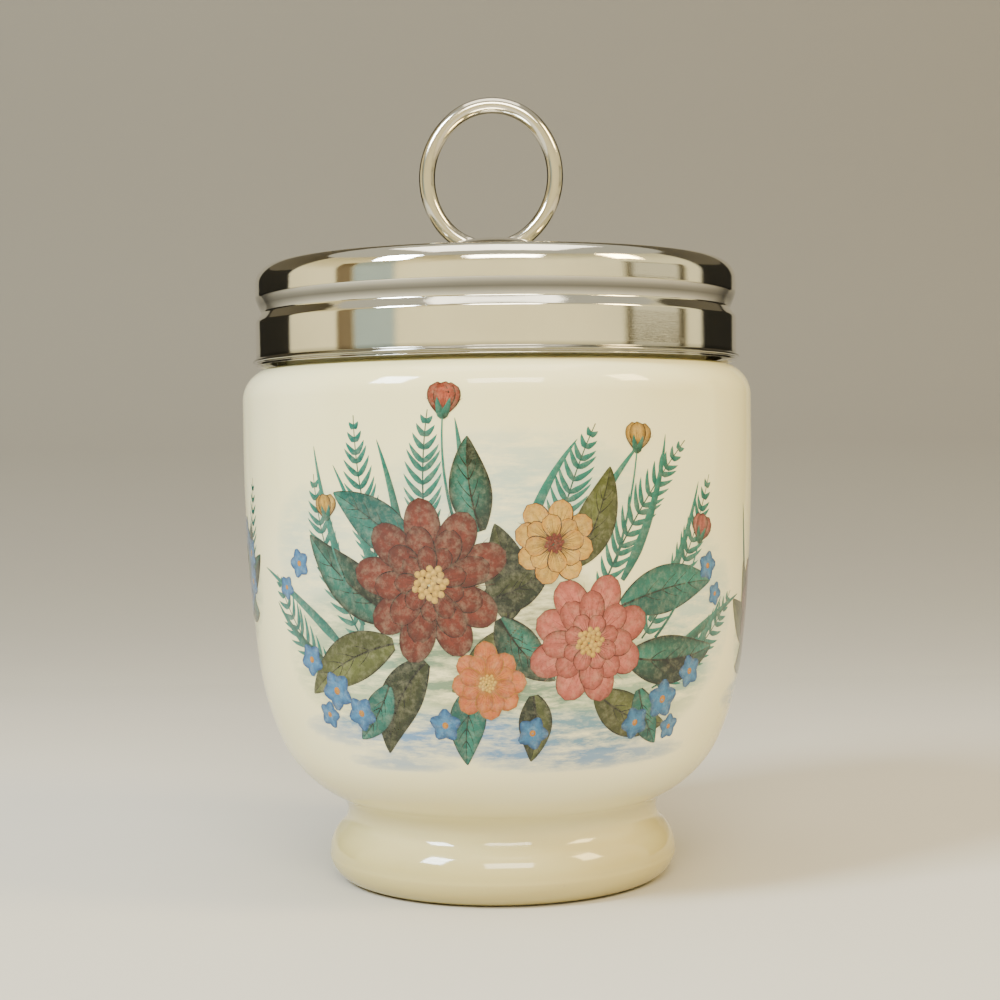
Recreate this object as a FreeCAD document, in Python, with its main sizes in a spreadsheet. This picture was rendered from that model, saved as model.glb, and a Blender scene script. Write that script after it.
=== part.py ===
"""Porcelain egg coddler: a footed pot with a screw-on metal lid and a fixed lift ring.

Lengths are in millimetres. The origin is the centre of the foot's flat underside and +Z is up.
"""
import math
import os

import FreeCAD
import Part
import Sketcher

Vector = FreeCAD.Vector

# Driving sizes: alias, value, what it measures

SIZES = [
    ("belly_radius", 33.0, "greatest radius of the pot"),
    ("belly_drop", 10.05, "how far under the shoulder the wall first stands upright"),
    ("wall_sweep", 245.0, "radius of the almost straight upper wall's curve"),
    ("wall_turn_height", 29.0, "height where the wall starts to draw in"),
    ("flank_sweep", 37.0, "radius of the curve below the upper wall"),
    ("bowl_sweep", 14.9, "radius of the round bottom corner of the bowl"),
    ("waist_sweep", 2.55, "radius of the hollow curve over the foot"),
    ("waist_setback", 12.72, "how far the waist over the foot stands in from the belly"),
    ("foot_flare", 2.38, "how far the foot stands out from the waist"),
    ("foot_upper_sweep", 4.73, "radius of the foot's upper curve"),
    ("foot_girth_height", 3.35, "height of the foot's greatest radius"),
    ("rest_width", 2.6, "width of the flat ring that the pot stands on"),
    ("recess_depth", 8.4, "depth of the hollow under the foot"),
    ("recess_sweep", 3.0, "radius of the corner in that hollow"),
    ("pot_wall", 3.4, "thickness of the bowl's wall"),
    ("shoulder_height", 66.05, "height of the pot's shoulder"),
    ("shoulder_sweep", 4.17, "radius of the shoulder's corner"),
    ("shoulder_wall", 3.1, "thickness of the shoulder"),
    ("inner_shoulder_sweep", 2.4, "radius of the corner under the shoulder"),
    ("neck_wall", 3.0, "thickness of the neck under its thread"),
    ("rim_sweep", 1.1, "radius of the rounded edges of the pot's rim"),
    ("lid_setback", 1.85, "how far the lid's side stands in from the belly"),
    ("lid_gap", 0.25, "gap between the shoulder and the lid's hem"),
    ("lid_side", 12.8, "height of the lid from its hem to its top edge"),
    ("lid_sheet", 0.5, "thickness of the lid's metal sheet"),
    ("lid_corner", 2.6, "radius of the lid's top corner"),
    ("crown_rise", 1.05, "rise of the lid's top from its edge to its middle"),
    ("seat_radius", 9.6, "radius of the flat seat in the middle of the lid"),
    ("groove_height", 6.7, "height of the groove's deepest line over the hem"),
    ("groove_under", 1.15, "height of the groove's lower slope"),
    ("groove_over", 1.95, "height of the groove's upper slope"),
    ("groove_depth", 0.8, "depth of the groove"),
    ("hem_height", 0.75, "height of the folded hem"),
    ("hem_proud", 0.4, "how far the hem stands out from the side"),
    ("hem_round", 0.18, "radius of the hem's rounded edges"),
    ("liner_sheet", 0.5, "thickness of the threaded liner's sheet"),
    ("liner_gap", 0.06, "gap between the liner and the lid cover"),
    ("liner_lift", 0.35, "how far the liner's lower edge stands over the hem"),
    ("liner_corner", 1.8, "radius of the liner's top corner"),
    ("liner_opening", 21.0, "radius of the opening in the liner's top"),
    ("seal_sheet", 1.8, "thickness of the rubber seal ring"),
    ("seal_gap", 0.1, "gap between the seal ring and the pot's rim"),
    ("seal_overhang", 0.8, "how far the seal ring reaches past the rim's inside"),
    ("thread_pitch", 5.0, "rise of the thread in one turn"),
    ("thread_depth", 1.5, "height of the thread's ridge over its root"),
    ("thread_gap", 0.45, "gap between a thread's crest and the other root"),
    ("thread_crest", 1.0, "width of a ridge at its crest"),
    ("thread_base", 2.3, "width of a ridge at its root"),
    ("thread_play", 0.35, "gap between the two ridges along the axis"),
    ("thread_start", 3.0, "height of the neck thread's lower end over the shoulder"),
    ("thread_root", 0.25, "how deep a ridge is rooted in its wall"),
    ("neck_turns", 1.0, "turns of the thread on the neck"),
    ("liner_turns", 0.9, "turns of the thread in the liner"),
    ("boss_radius", 9.0, "radius of the button that holds the ring"),
    ("boss_edge", 0.9, "height of the button's edge"),
    ("boss_round", 0.35, "radius of the button's rounded edge"),
    ("boss_rise", 2.65, "height of the button in its middle"),
    ("stem_radius", 2.6, "radius of the button's rivet stem"),
    ("stem_gap", 0.05, "gap between the stem and its holes"),
    ("washer_radius", 6.5, "radius of the washer inside the lid"),
    ("washer_sheet", 0.8, "thickness of the washer"),
    ("rivet_head_radius", 4.0, "radius of the head closed over the washer"),
    ("rivet_head", 0.9, "thickness of that head"),
    ("ring_width", 18.8, "outer width of the lift ring"),
    ("ring_length", 20.7, "outer length of the lift ring"),
    ("wire_radius", 1.06, "radius of the lift ring's wire"),
    ("ring_lean", 6.2, "angle in degrees at which the ring leans sideways"),
    ("ring_shift", 0.37, "how far the ring's middle stands to the left"),
    ("ring_seat", 0.25, "how far the wire stands over the lid's flat seat"),
    ("ring_slot", 1.6, "distance between the two ends of the wire"),
    ("socket_gap", 0.04, "gap round the wire in the button"),
]

doc = FreeCAD.newDocument("EggCoddler")
sheet = doc.addObject("Spreadsheet::Sheet", "Sizes")
for row, (alias, value, meaning) in enumerate(SIZES, start=1):
    sheet.set("A%d" % row, meaning)
    sheet.set("B%d" % row, str(value))
    sheet.setAlias("B%d" % row, alias)
doc.recompute()

ALIASES = [alias for alias, value, meaning in SIZES]


def size(alias):
    """The number in the sheet under this alias."""
    return float(getattr(sheet, alias))


def amount(rule):
    """The value of a rule such as 'belly_radius - pot_wall' or 'thread_pitch / 4'."""
    terms = []
    action = "+"
    for word in rule.split():
        if word in ("+", "-", "*", "/"):
            action = word
            continue
        number = size(word) if word in ALIASES else float(word)
        if action == "*":
            terms[-1] *= number
        elif action == "/":
            terms[-1] /= number
        else:
            terms.append(-number if action == "-" else number)
    return sum(terms)


def bound(rule):
    """The same rule as an expression that reads the sheet."""
    return " ".join("Sizes." + word if word in ALIASES else word for word in rule.split())


# Places that several pieces share, each a sum of sizes

BELLY_PLACE = "shoulder_height - belly_drop"
WAIST_RADIUS = "belly_radius - waist_setback"
FOOT_RADIUS = WAIST_RADIUS + " + foot_flare"
LID_RADIUS = "belly_radius - lid_setback"
HEM_PLACE = "shoulder_height + lid_gap"
EDGE_PLACE = HEM_PLACE + " + lid_side"
SEAT_PLACE = EDGE_PLACE + " + crown_rise"
COVER_INSIDE = LID_RADIUS + " - lid_sheet"
LINER_RADIUS = COVER_INSIDE + " - groove_depth - liner_gap"
LINER_INSIDE = LINER_RADIUS + " - liner_sheet"
LINER_TOP = EDGE_PLACE + " - lid_sheet - liner_gap"
SEAL_TOP = LINER_TOP + " - liner_sheet"
RIM_PLACE = SEAL_TOP + " - seal_gap - seal_sheet - seal_gap"
NECK_RADIUS = LINER_INSIDE + " - thread_gap - thread_depth"
MOUTH_RADIUS = NECK_RADIUS + " - neck_wall"
THREAD_PLACE = "shoulder_height + thread_start"
WASHER_TOP = SEAT_PLACE + " - lid_sheet"
WASHER_FOOT = WASHER_TOP + " - washer_sheet"

# Two places nearer than this are one

SAME_PLACE = 1e-4

# Which end of a sketch element is meant, and the sketch's own origin and axes

START = 1
END = 2
CENTRE = 3
ACROSS_AXIS = -1
UP_AXIS = -2

QUARTER_TURN = math.pi / 2
EIGHTH_TURN = math.pi / 4

# The ring is an oval of four arcs that meet at 45 degrees. Each arc's centre stands this far off.

OVAL_SHARE = 2 * (2 - math.sqrt(2))
OVAL_OFFSET = "ring_length / %.9f - ring_width / %.9f" % (OVAL_SHARE, OVAL_SHARE)
RING_CENTRE = SEAT_PLACE + " + ring_seat + ring_length / 2"


class Outline:
    """A sketch on one of a body's own origin planes, with sizes read from the sheet."""

    def __init__(self, body, name, role="XZ_Plane"):
        self.sketch = body.newObject("Sketcher::SketchObject", name)
        plane = [item for item in body.Origin.OriginFeatures if item.Role == role][0]
        self.sketch.AttachmentSupport = [(plane, "")]
        self.sketch.MapMode = "FlatFace"

    def join(self, *values):
        return self.sketch.addConstraint(Sketcher.Constraint(*values))

    def line(self, start, end):
        return self.sketch.addGeometry(Part.LineSegment(Vector(*start, 0), Vector(*end, 0)))

    def arc(self, centre, radius, begin, finish):
        """An arc that runs anticlockwise between two angles."""
        circle = Part.Circle(Vector(*centre, 0), Vector(0, 0, 1), radius)
        return self.sketch.addGeometry(Part.ArcOfCircle(circle, begin, finish))

    def meet(self, first, first_end, second, second_end):
        self.join("Coincident", first, first_end, second, second_end)

    def flow(self, first, first_end, second, second_end):
        """Join two ends with no corner between them."""
        self.join("Tangent", first, first_end, second, second_end)

    def tie(self, rule, *values):
        """A constraint whose value is a rule."""
        index = self.join(*values, amount(rule))
        self.sketch.setExpression("Constraints[%d]" % index, bound(rule))

    def place(self, element, end, across=None, up=None):
        """Hold a point at a distance across and up from the sketch's origin."""
        if across is not None:
            self.tie(across, "DistanceX", ACROSS_AXIS, START, element, end)
        if up is not None:
            self.tie(up, "DistanceY", ACROSS_AXIS, START, element, end)

    def radius(self, element, rule):
        self.tie(rule, "Radius", element)

    def polygon(self, corners):
        """A closed outline of straight lines through corners given as rules."""
        spots = [(amount(across), amount(up)) for across, up in corners]
        lines = []
        for index, spot in enumerate(spots):
            lines.append(self.line(spot, spots[(index + 1) % len(spots)]))
        for index, element in enumerate(lines):
            self.meet(lines[index - 1], END, element, START)
        for element, (across, up) in zip(lines, corners):
            self.place(element, START, across, up)
        return lines


def new_body(name):
    body = doc.addObject("PartDesign::Body", name)
    body.Label = name
    return body


def revolve(body, outline, name):
    """Turn an outline a full turn about its upright axis."""
    feature = body.newObject("PartDesign::Revolution", name)
    feature.Profile = outline.sketch
    feature.ReferenceAxis = (outline.sketch, ["V_Axis"])
    feature.Angle = 360
    outline.sketch.Visibility = False
    return feature


def soften(body, base, name, rule, spots):
    """Round the circular edges that pass through these places, each a radius and a height."""
    doc.recompute()
    names = []
    for across, up in spots:
        for index, edge in enumerate(base.Shape.Edges, start=1):
            point = edge.Vertexes[0].Point
            reach = math.hypot(point.x, point.y)
            ring = len(edge.Vertexes) == 1
            off = max(abs(reach - amount(across)), abs(point.z - amount(up)))
            if ring and off < SAME_PLACE:
                names.append("Edge%d" % index)
    feature = body.newObject("PartDesign::Fillet", name)
    feature.Base = (base, names)
    feature.setExpression("Radius", bound(rule))
    return feature


def add_ridge(body, name, role, root, crest, middle, turns):
    """A screw ridge whose section starts on the given plane, its middle at the given height."""
    outline = Outline(body, name + "_section", role)
    outline.polygon([(root, middle + " - thread_base / 2"), (crest, middle + " - thread_crest / 2"),
                     (crest, middle + " + thread_crest / 2"), (root, middle + " + thread_base / 2")])
    helix = body.newObject("PartDesign::AdditiveHelix", name)
    helix.Profile = outline.sketch
    helix.ReferenceAxis = (outline.sketch, ["V_Axis"])
    helix.Mode = "pitch-turns-angle"
    helix.setExpression("Pitch", "Sizes.thread_pitch")
    helix.setExpression("Turns", "Sizes." + turns)
    helix.LeftHanded = False
    helix.Reversed = False
    outline.sketch.Visibility = False


def crossing(first, first_radius, second, second_radius):
    """The outer one of the two points where two circles cross."""
    across = second[0] - first[0]
    up = second[1] - first[1]
    distance = math.hypot(across, up)
    along = (first_radius ** 2 - second_radius ** 2 + distance ** 2) / (2 * distance)
    aside = math.sqrt(first_radius ** 2 - along ** 2)
    foot = (first[0] + across * along / distance, first[1] + up * along / distance)
    spots = [(foot[0] - sign * up * aside / distance, foot[1] + sign * across * aside / distance)
             for sign in (1, -1)]
    return max(spots, key=lambda spot: spot[0])


def bearing(centre, spot):
    return math.atan2(spot[1] - centre[1], spot[0] - centre[0])


def make_pot():
    """The porcelain pot: foot, waist, bowl, shoulder and a threaded neck in one piece."""
    body = new_body("pot")
    outline = Outline(body, "pot_outline")
    wall = size("pot_wall")
    girth = size("foot_girth_height")

    # Centres of the outer curves, from the foot to the upper wall

    foot_low = (amount(FOOT_RADIUS) - girth, girth)
    foot_up = (amount(FOOT_RADIUS) - size("foot_upper_sweep"), girth)
    waist_across = amount(WAIST_RADIUS) + size("waist_sweep")
    reach = size("foot_upper_sweep") + size("waist_sweep")
    waist = (waist_across, girth + math.sqrt(reach ** 2 - (waist_across - foot_up[0]) ** 2))
    upper = (size("belly_radius") - size("wall_sweep"), amount(BELLY_PLACE))
    turn = -math.asin((amount(BELLY_PLACE) - size("wall_turn_height")) / size("wall_sweep"))
    drop = size("wall_sweep") - size("flank_sweep")
    flank = (upper[0] + drop * math.cos(turn), upper[1] + drop * math.sin(turn))
    bowl = crossing(waist, size("waist_sweep") + size("bowl_sweep"),
                    flank, size("flank_sweep") - size("bowl_sweep"))
    foot_turn = bearing(foot_up, waist)
    waist_turn = bearing(bowl, waist)
    flank_turn = bearing(flank, bowl)

    # Outer curves

    low_arc = outline.arc(foot_low, girth, -QUARTER_TURN, 0)
    up_arc = outline.arc(foot_up, size("foot_upper_sweep"), 0, foot_turn)
    waist_arc = outline.arc(waist, size("waist_sweep"), waist_turn + math.pi, foot_turn + math.pi)
    bowl_arc = outline.arc(bowl, size("bowl_sweep"), waist_turn, flank_turn)
    flank_arc = outline.arc(flank, size("flank_sweep"), flank_turn, turn)
    wall_arc = outline.arc(upper, size("wall_sweep"), turn, 0)
    belly = size("belly_radius")
    shoulder = size("shoulder_height")
    bend = size("shoulder_sweep")
    neck = amount(NECK_RADIUS)
    rim = amount(RIM_PLACE)
    edge = size("rim_sweep")
    mouth = amount(MOUTH_RADIUS)
    belly_line = outline.line((belly, upper[1]), (belly, shoulder - bend))
    shoulder_arc = outline.arc((belly - bend, shoulder - bend), bend, 0, QUARTER_TURN)
    shoulder_line = outline.line((belly - bend, shoulder), (neck, shoulder))
    neck_line = outline.line((neck, shoulder), (neck, rim - edge))
    rim_outer = outline.arc((neck - edge, rim - edge), edge, 0, QUARTER_TURN)
    rim_line = outline.line((neck - edge, rim), (mouth + edge, rim))
    rim_inner = outline.arc((mouth + edge, rim - edge), edge, QUARTER_TURN, math.pi)

    # Inner curves: the neck's bore, under the shoulder, and the bowl at one wall inside the outer curves

    under = shoulder - size("shoulder_wall")
    inner_bend = size("inner_shoulder_sweep")
    inside = belly - wall
    bore_line = outline.line((mouth, rim - edge), (mouth, under))
    under_line = outline.line((mouth, under), (inside - inner_bend, under))
    under_arc = outline.arc((inside - inner_bend, under - inner_bend), inner_bend, 0, QUARTER_TURN)
    inner_line = outline.line((inside, under - inner_bend), (inside, upper[1]))
    wall_inner = outline.arc(upper, size("wall_sweep") - wall, turn, 0)
    flank_inner = outline.arc(flank, size("flank_sweep") - wall, flank_turn, turn)
    bowl_inner = outline.arc(bowl, size("bowl_sweep") - wall, -QUARTER_TURN, flank_turn)
    floor = bowl[1] - size("bowl_sweep") + wall
    floor_line = outline.line((bowl[0], floor), (0, floor))

    # Hollow under the foot

    ring = foot_low[0] - size("rest_width")
    hollow = size("recess_depth")
    soft = size("recess_sweep")
    axis_line = outline.line((0, floor), (0, hollow))
    hollow_line = outline.line((0, hollow), (ring - soft, hollow))
    hollow_arc = outline.arc((ring - soft, hollow - soft), soft, 0, QUARTER_TURN)
    ring_line = outline.line((ring, hollow - soft), (ring, 0))
    rest_line = outline.line((ring, 0), (foot_low[0], 0))

    # Smooth joins, each from an element's end to the next one's start

    for first, first_end, second, second_end in (
            (rest_line, END, low_arc, START), (low_arc, END, up_arc, START),
            (up_arc, END, waist_arc, END), (waist_arc, START, bowl_arc, START),
            (bowl_arc, END, flank_arc, START), (flank_arc, END, wall_arc, START),
            (wall_arc, END, belly_line, START), (belly_line, END, shoulder_arc, START),
            (shoulder_arc, END, shoulder_line, START), (neck_line, END, rim_outer, START),
            (rim_outer, END, rim_line, START), (rim_line, END, rim_inner, START),
            (rim_inner, END, bore_line, START), (under_line, END, under_arc, END),
            (under_arc, START, inner_line, START), (inner_line, END, wall_inner, END),
            (wall_inner, START, flank_inner, END), (flank_inner, START, bowl_inner, END),
            (bowl_inner, START, floor_line, START), (hollow_line, END, hollow_arc, END),
            (hollow_arc, START, ring_line, START)):
        outline.flow(first, first_end, second, second_end)
    for first, first_end, second, second_end in (
            (shoulder_line, END, neck_line, START), (bore_line, END, under_line, START),
            (floor_line, END, axis_line, START), (axis_line, END, hollow_line, START),
            (ring_line, END, rest_line, START)):
        outline.meet(first, first_end, second, second_end)
    for element in (shoulder_line, rim_line, under_line, floor_line, hollow_line, rest_line):
        outline.join("Horizontal", element)
    for element in (belly_line, neck_line, bore_line, inner_line, axis_line, ring_line):
        outline.join("Vertical", element)
    for inner, outer in ((wall_inner, wall_arc), (flank_inner, flank_arc), (bowl_inner, bowl_arc)):
        outline.meet(inner, CENTRE, outer, CENTRE)

    # Radii and places

    for element, rule in ((up_arc, "foot_upper_sweep"), (waist_arc, "waist_sweep"),
                          (bowl_arc, "bowl_sweep"), (flank_arc, "flank_sweep"),
                          (wall_arc, "wall_sweep"), (shoulder_arc, "shoulder_sweep"),
                          (rim_outer, "rim_sweep"), (rim_inner, "rim_sweep"),
                          (under_arc, "inner_shoulder_sweep"), (hollow_arc, "recess_sweep")):
        outline.radius(element, rule)
    outline.join("PointOnObject", rest_line, START, ACROSS_AXIS)
    outline.place(low_arc, END, FOOT_RADIUS, "foot_girth_height")
    outline.place(low_arc, CENTRE, None, "foot_girth_height")
    outline.place(waist_arc, CENTRE, WAIST_RADIUS + " + waist_sweep")
    outline.place(wall_arc, END, "belly_radius", BELLY_PLACE)
    outline.place(wall_arc, START, None, "wall_turn_height")
    outline.place(shoulder_line, END, NECK_RADIUS, "shoulder_height")
    outline.place(rim_line, START, None, RIM_PLACE)
    outline.place(bore_line, END, MOUTH_RADIUS, "shoulder_height - shoulder_wall")
    outline.place(inner_line, END, "belly_radius - pot_wall")
    outline.place(ring_line, END, FOOT_RADIUS + " - foot_girth_height - rest_width")
    outline.join("PointOnObject", axis_line, START, UP_AXIS)
    outline.place(axis_line, END, None, "recess_depth")
    revolve(body, outline, "pot_turning")
    doc.recompute()
    add_ridge(body, "neck_thread", "XZ_Plane", NECK_RADIUS + " - thread_root",
              NECK_RADIUS + " + thread_depth", THREAD_PLACE, "neck_turns")


def make_lid_cover():
    """The pressed cover: hem, side with one groove, round corner and a raised top with a hole."""
    body = new_body("lid_cover")
    outline = Outline(body, "cover_outline")
    side = amount(LID_RADIUS)
    hem = amount(HEM_PLACE)
    edge = amount(EDGE_PLACE)
    seat = amount(SEAT_PLACE)
    sheet_gauge = size("lid_sheet")
    corner = size("lid_corner")
    middle = hem + size("groove_height")
    under = size("groove_under")
    over = size("groove_over")
    deep = size("groove_depth")
    proud = size("hem_proud")
    fold = size("hem_height")
    hole = amount("stem_radius + stem_gap")
    flat = size("seat_radius")

    # Outer skin from the hem up to the hole in the middle

    hem_out = outline.line((side + proud, hem), (side + proud, hem + fold))
    hem_top = outline.line((side + proud, hem + fold), (side, hem + fold))
    low_band = outline.line((side, hem + fold), (side, middle - under))
    groove_low = outline.line((side, middle - under), (side - deep, middle))
    groove_up = outline.line((side - deep, middle), (side, middle + over))
    up_band = outline.line((side, middle + over), (side, edge - corner))
    corner_out = outline.arc((side - corner, edge - corner), corner, 0, QUARTER_TURN)
    crown_out = outline.line((side - corner, edge), (flat, seat))
    seat_out = outline.line((flat, seat), (hole, seat))
    hole_line = outline.line((hole, seat), (hole, seat - sheet_gauge))

    # Inner skin back down to the hem

    seat_in = outline.line((hole, seat - sheet_gauge), (flat, seat - sheet_gauge))
    crown_in = outline.line((flat, seat - sheet_gauge), (side - corner, edge - sheet_gauge))
    corner_in = outline.arc((side - corner, edge - corner), corner - sheet_gauge, 0, QUARTER_TURN)
    inside = side - sheet_gauge
    up_in = outline.line((inside, edge - corner), (inside, middle + over))
    groove_up_in = outline.line((inside, middle + over), (inside - deep, middle))
    groove_low_in = outline.line((inside - deep, middle), (inside, middle - under))
    low_in = outline.line((inside, middle - under), (inside, hem))
    hem_line = outline.line((inside, hem), (side + proud, hem))

    chain = ((hem_out, START, END), (hem_top, START, END), (low_band, START, END),
             (groove_low, START, END), (groove_up, START, END), (up_band, START, END),
             (corner_out, START, END), (crown_out, START, END), (seat_out, START, END),
             (hole_line, START, END), (seat_in, START, END), (crown_in, START, END),
             (corner_in, END, START), (up_in, START, END), (groove_up_in, START, END),
             (groove_low_in, START, END), (low_in, START, END), (hem_line, START, END))
    for before, after in zip(chain, chain[1:] + chain[:1]):
        outline.meet(before[0], before[2], after[0], after[1])

    middle_rule = HEM_PLACE + " + groove_height"
    outline.place(hem_out, START, LID_RADIUS + " + hem_proud", HEM_PLACE)
    outline.place(hem_top, START, LID_RADIUS + " + hem_proud", HEM_PLACE + " + hem_height")
    outline.place(low_band, START, LID_RADIUS, HEM_PLACE + " + hem_height")
    outline.place(groove_low, END, LID_RADIUS + " - groove_depth", middle_rule)
    outline.place(groove_up_in, END, COVER_INSIDE + " - groove_depth", middle_rule)
    outline.place(groove_low, START, LID_RADIUS, middle_rule + " - groove_under")
    outline.place(up_band, START, LID_RADIUS, middle_rule + " + groove_over")
    outline.place(up_in, END, COVER_INSIDE, middle_rule + " + groove_over")
    outline.place(low_in, START, COVER_INSIDE, middle_rule + " - groove_under")
    outline.place(corner_out, CENTRE, LID_RADIUS + " - lid_corner", EDGE_PLACE + " - lid_corner")
    outline.place(up_band, END, LID_RADIUS, EDGE_PLACE + " - lid_corner")
    outline.place(crown_out, START, LID_RADIUS + " - lid_corner")
    outline.meet(corner_in, CENTRE, corner_out, CENTRE)
    outline.place(up_in, START, COVER_INSIDE, EDGE_PLACE + " - lid_corner")
    outline.place(crown_in, END, LID_RADIUS + " - lid_corner")
    outline.place(seat_out, START, "seat_radius", SEAT_PLACE)
    outline.place(seat_out, END, "stem_radius + stem_gap", SEAT_PLACE)
    outline.place(seat_in, START, "stem_radius + stem_gap", SEAT_PLACE + " - lid_sheet")
    outline.place(seat_in, END, "seat_radius", SEAT_PLACE + " - lid_sheet")
    outline.place(hem_line, START, COVER_INSIDE, HEM_PLACE)
    turning = revolve(body, outline, "cover_turning")
    hem_radius = LID_RADIUS + " + hem_proud"
    soften(body, turning, "hem_rounding", "hem_round",
           [(hem_radius, HEM_PLACE), (hem_radius, HEM_PLACE + " + hem_height")])


def make_lid_liner():
    """The threaded liner: a skirt with an inward flange over the seal and a screw ridge inside."""
    body = new_body("lid_liner")
    outline = Outline(body, "liner_outline")
    foot = HEM_PLACE + " + liner_lift"
    flange = COVER_INSIDE + " - liner_gap"
    outline.polygon([
        (LINER_INSIDE, foot), (flange, foot), (flange, foot + " + liner_sheet"),
        (LINER_RADIUS, foot + " + liner_sheet"), (LINER_RADIUS, LINER_TOP), ("liner_opening", LINER_TOP),
        ("liner_opening", SEAL_TOP), (LINER_INSIDE, SEAL_TOP)])
    turning = revolve(body, outline, "liner_turning")
    soften(body, turning, "liner_rounding", "liner_corner", [(LINER_RADIUS, LINER_TOP)])
    doc.recompute()

    # The ridge lies under the neck's ridge. It starts a quarter turn on, over the liner's lower edge.

    under = " + thread_pitch / 4 - thread_base / 2 - thread_crest / 2 - thread_play"
    add_ridge(body, "liner_thread", "YZ_Plane", LINER_INSIDE + " + thread_root",
              LINER_INSIDE + " - thread_depth", THREAD_PLACE + under, "liner_turns")


def make_seal_ring():
    """The flat rubber ring between the liner's flange and the pot's rim."""
    body = new_body("seal_ring")
    outline = Outline(body, "seal_outline")
    top = SEAL_TOP + " - seal_gap"
    inner = MOUTH_RADIUS + " - seal_overhang"
    outer = NECK_RADIUS + " + seal_overhang"
    foot = top + " - seal_sheet"
    outline.polygon([(inner, top), (outer, top), (outer, foot), (inner, foot)])
    revolve(body, outline, "seal_turning")


def make_rivet_washer():
    """The washer inside the lid, under the rivet head."""
    body = new_body("rivet_washer")
    outline = Outline(body, "washer_outline")
    hole = "stem_radius + stem_gap"
    outline.polygon([(hole, WASHER_TOP), ("washer_radius", WASHER_TOP),
                     ("washer_radius", WASHER_FOOT), (hole, WASHER_FOOT)])
    revolve(body, outline, "washer_turning")


def make_oval_wire(name, gauge, half_slot):
    """One oval of round wire, centred on its own origin, open at the bottom by twice the half slot."""
    body = new_body(name)
    offset = amount(OVAL_OFFSET)
    end_radius = amount("ring_length / 2 - wire_radius") - offset
    side_radius = amount("ring_width / 2 - wire_radius") + offset
    path = Outline(body, name + "_path")
    top = path.arc((0, offset), end_radius, EIGHTH_TURN, QUARTER_TURN)
    side = path.arc((-offset, 0), side_radius, -EIGHTH_TURN, EIGHTH_TURN)
    open_angle = math.acos(amount(half_slot) / end_radius)
    bottom = path.arc((0, -offset), end_radius, -open_angle, -EIGHTH_TURN)
    path.flow(top, START, side, END)
    path.flow(side, START, bottom, END)
    path.join("PointOnObject", top, END, UP_AXIS)
    path.join("PointOnObject", top, CENTRE, UP_AXIS)
    path.place(top, CENTRE, None, OVAL_OFFSET)
    path.radius(top, "ring_length / 2 - wire_radius - " + OVAL_OFFSET.replace(" - ", " + "))
    path.join("PointOnObject", side, CENTRE, ACROSS_AXIS)
    path.join("PointOnObject", bottom, CENTRE, UP_AXIS)
    path.join("Equal", top, bottom)
    path.place(bottom, START, half_slot)
    section = Outline(body, name + "_section", "YZ_Plane")
    circle = section.sketch.addGeometry(Part.Circle(Vector(0, end_radius + offset, 0), Vector(0, 0, 1),
                                                    amount(gauge)))
    section.join("PointOnObject", circle, CENTRE, UP_AXIS)
    section.place(circle, CENTRE, None, "ring_length / 2 - wire_radius")
    section.radius(circle, gauge)
    doc.recompute()
    pipe = body.newObject("PartDesign::AdditivePipe", name + "_bend")
    pipe.Profile = section.sketch
    pipe.Spine = (path.sketch, ["Edge1", "Edge2", "Edge3"])
    doc.recompute()
    mirror = body.newObject("PartDesign::Mirrored", name + "_other_half")
    mirror.Originals = [pipe]
    mirror.MirrorPlane = ([item for item in body.Origin.OriginFeatures if item.Role == "YZ_Plane"][0], [""])
    body.Tip = mirror
    path.sketch.Visibility = False
    section.sketch.Visibility = False

    # The ring stands on the lid's seat and leans to its right

    body.Placement = FreeCAD.Placement(Vector(0, 0, 0), FreeCAD.Rotation(Vector(0, 1, 0), size("ring_lean")))
    body.setExpression("Placement.Base.x", bound("0 - ring_shift"))
    body.setExpression("Placement.Base.z", bound(RING_CENTRE))
    body.setExpression("Placement.Rotation.Angle", "Sizes.ring_lean")
    return body


def make_ring_boss():
    """The button on the lid, with its rivet stem and two sockets for the ends of the wire."""
    blank = new_body("boss_blank")
    outline = Outline(blank, "boss_outline")
    head_foot = WASHER_FOOT + " - rivet_head"
    rules = [("boss_radius", SEAT_PLACE + " + boss_edge"), ("boss_radius", SEAT_PLACE),
             ("stem_radius", SEAT_PLACE), ("stem_radius", WASHER_FOOT),
             ("rivet_head_radius", WASHER_FOOT), ("rivet_head_radius", head_foot)]
    spots = [(amount(across), amount(up)) for across, up in rules]
    summit = amount(SEAT_PLACE + " + boss_rise")
    base = amount(head_foot)
    spots.append((0, base))
    spots.append((0, summit))
    lines = [outline.line(first, second) for first, second in zip(spots, spots[1:])]
    half = size("boss_radius")
    rise = size("boss_rise") - size("boss_edge")
    dome_radius = (half ** 2 + rise ** 2) / (2 * rise)
    centre = (0, summit - dome_radius)
    dome = outline.arc(centre, dome_radius, bearing(centre, spots[0]), QUARTER_TURN)
    for first, second in zip(lines, lines[1:]):
        outline.meet(first, END, second, START)
    outline.meet(lines[-1], END, dome, END)
    outline.meet(dome, START, lines[0], START)
    for element, (across, up) in zip(lines, rules):
        outline.place(element, START, across, up)
    outline.join("PointOnObject", lines[-1], START, UP_AXIS)
    outline.place(lines[-1], START, None, head_foot)
    outline.join("PointOnObject", lines[-1], END, UP_AXIS)
    outline.place(lines[-1], END, None, SEAT_PLACE + " + boss_rise")
    outline.join("PointOnObject", dome, CENTRE, UP_AXIS)
    turning = revolve(blank, outline, "boss_turning")
    soften(blank, turning, "boss_rounding", "boss_round", [("boss_radius", SEAT_PLACE + " + boss_edge")])
    tool = make_oval_wire("socket_tool", "wire_radius + socket_gap", "ring_slot / 2 - socket_gap")
    boss = doc.addObject("Part::Cut", "ring_boss")
    boss.Label = "ring_boss"
    boss.Base = blank
    boss.Tool = tool


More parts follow.
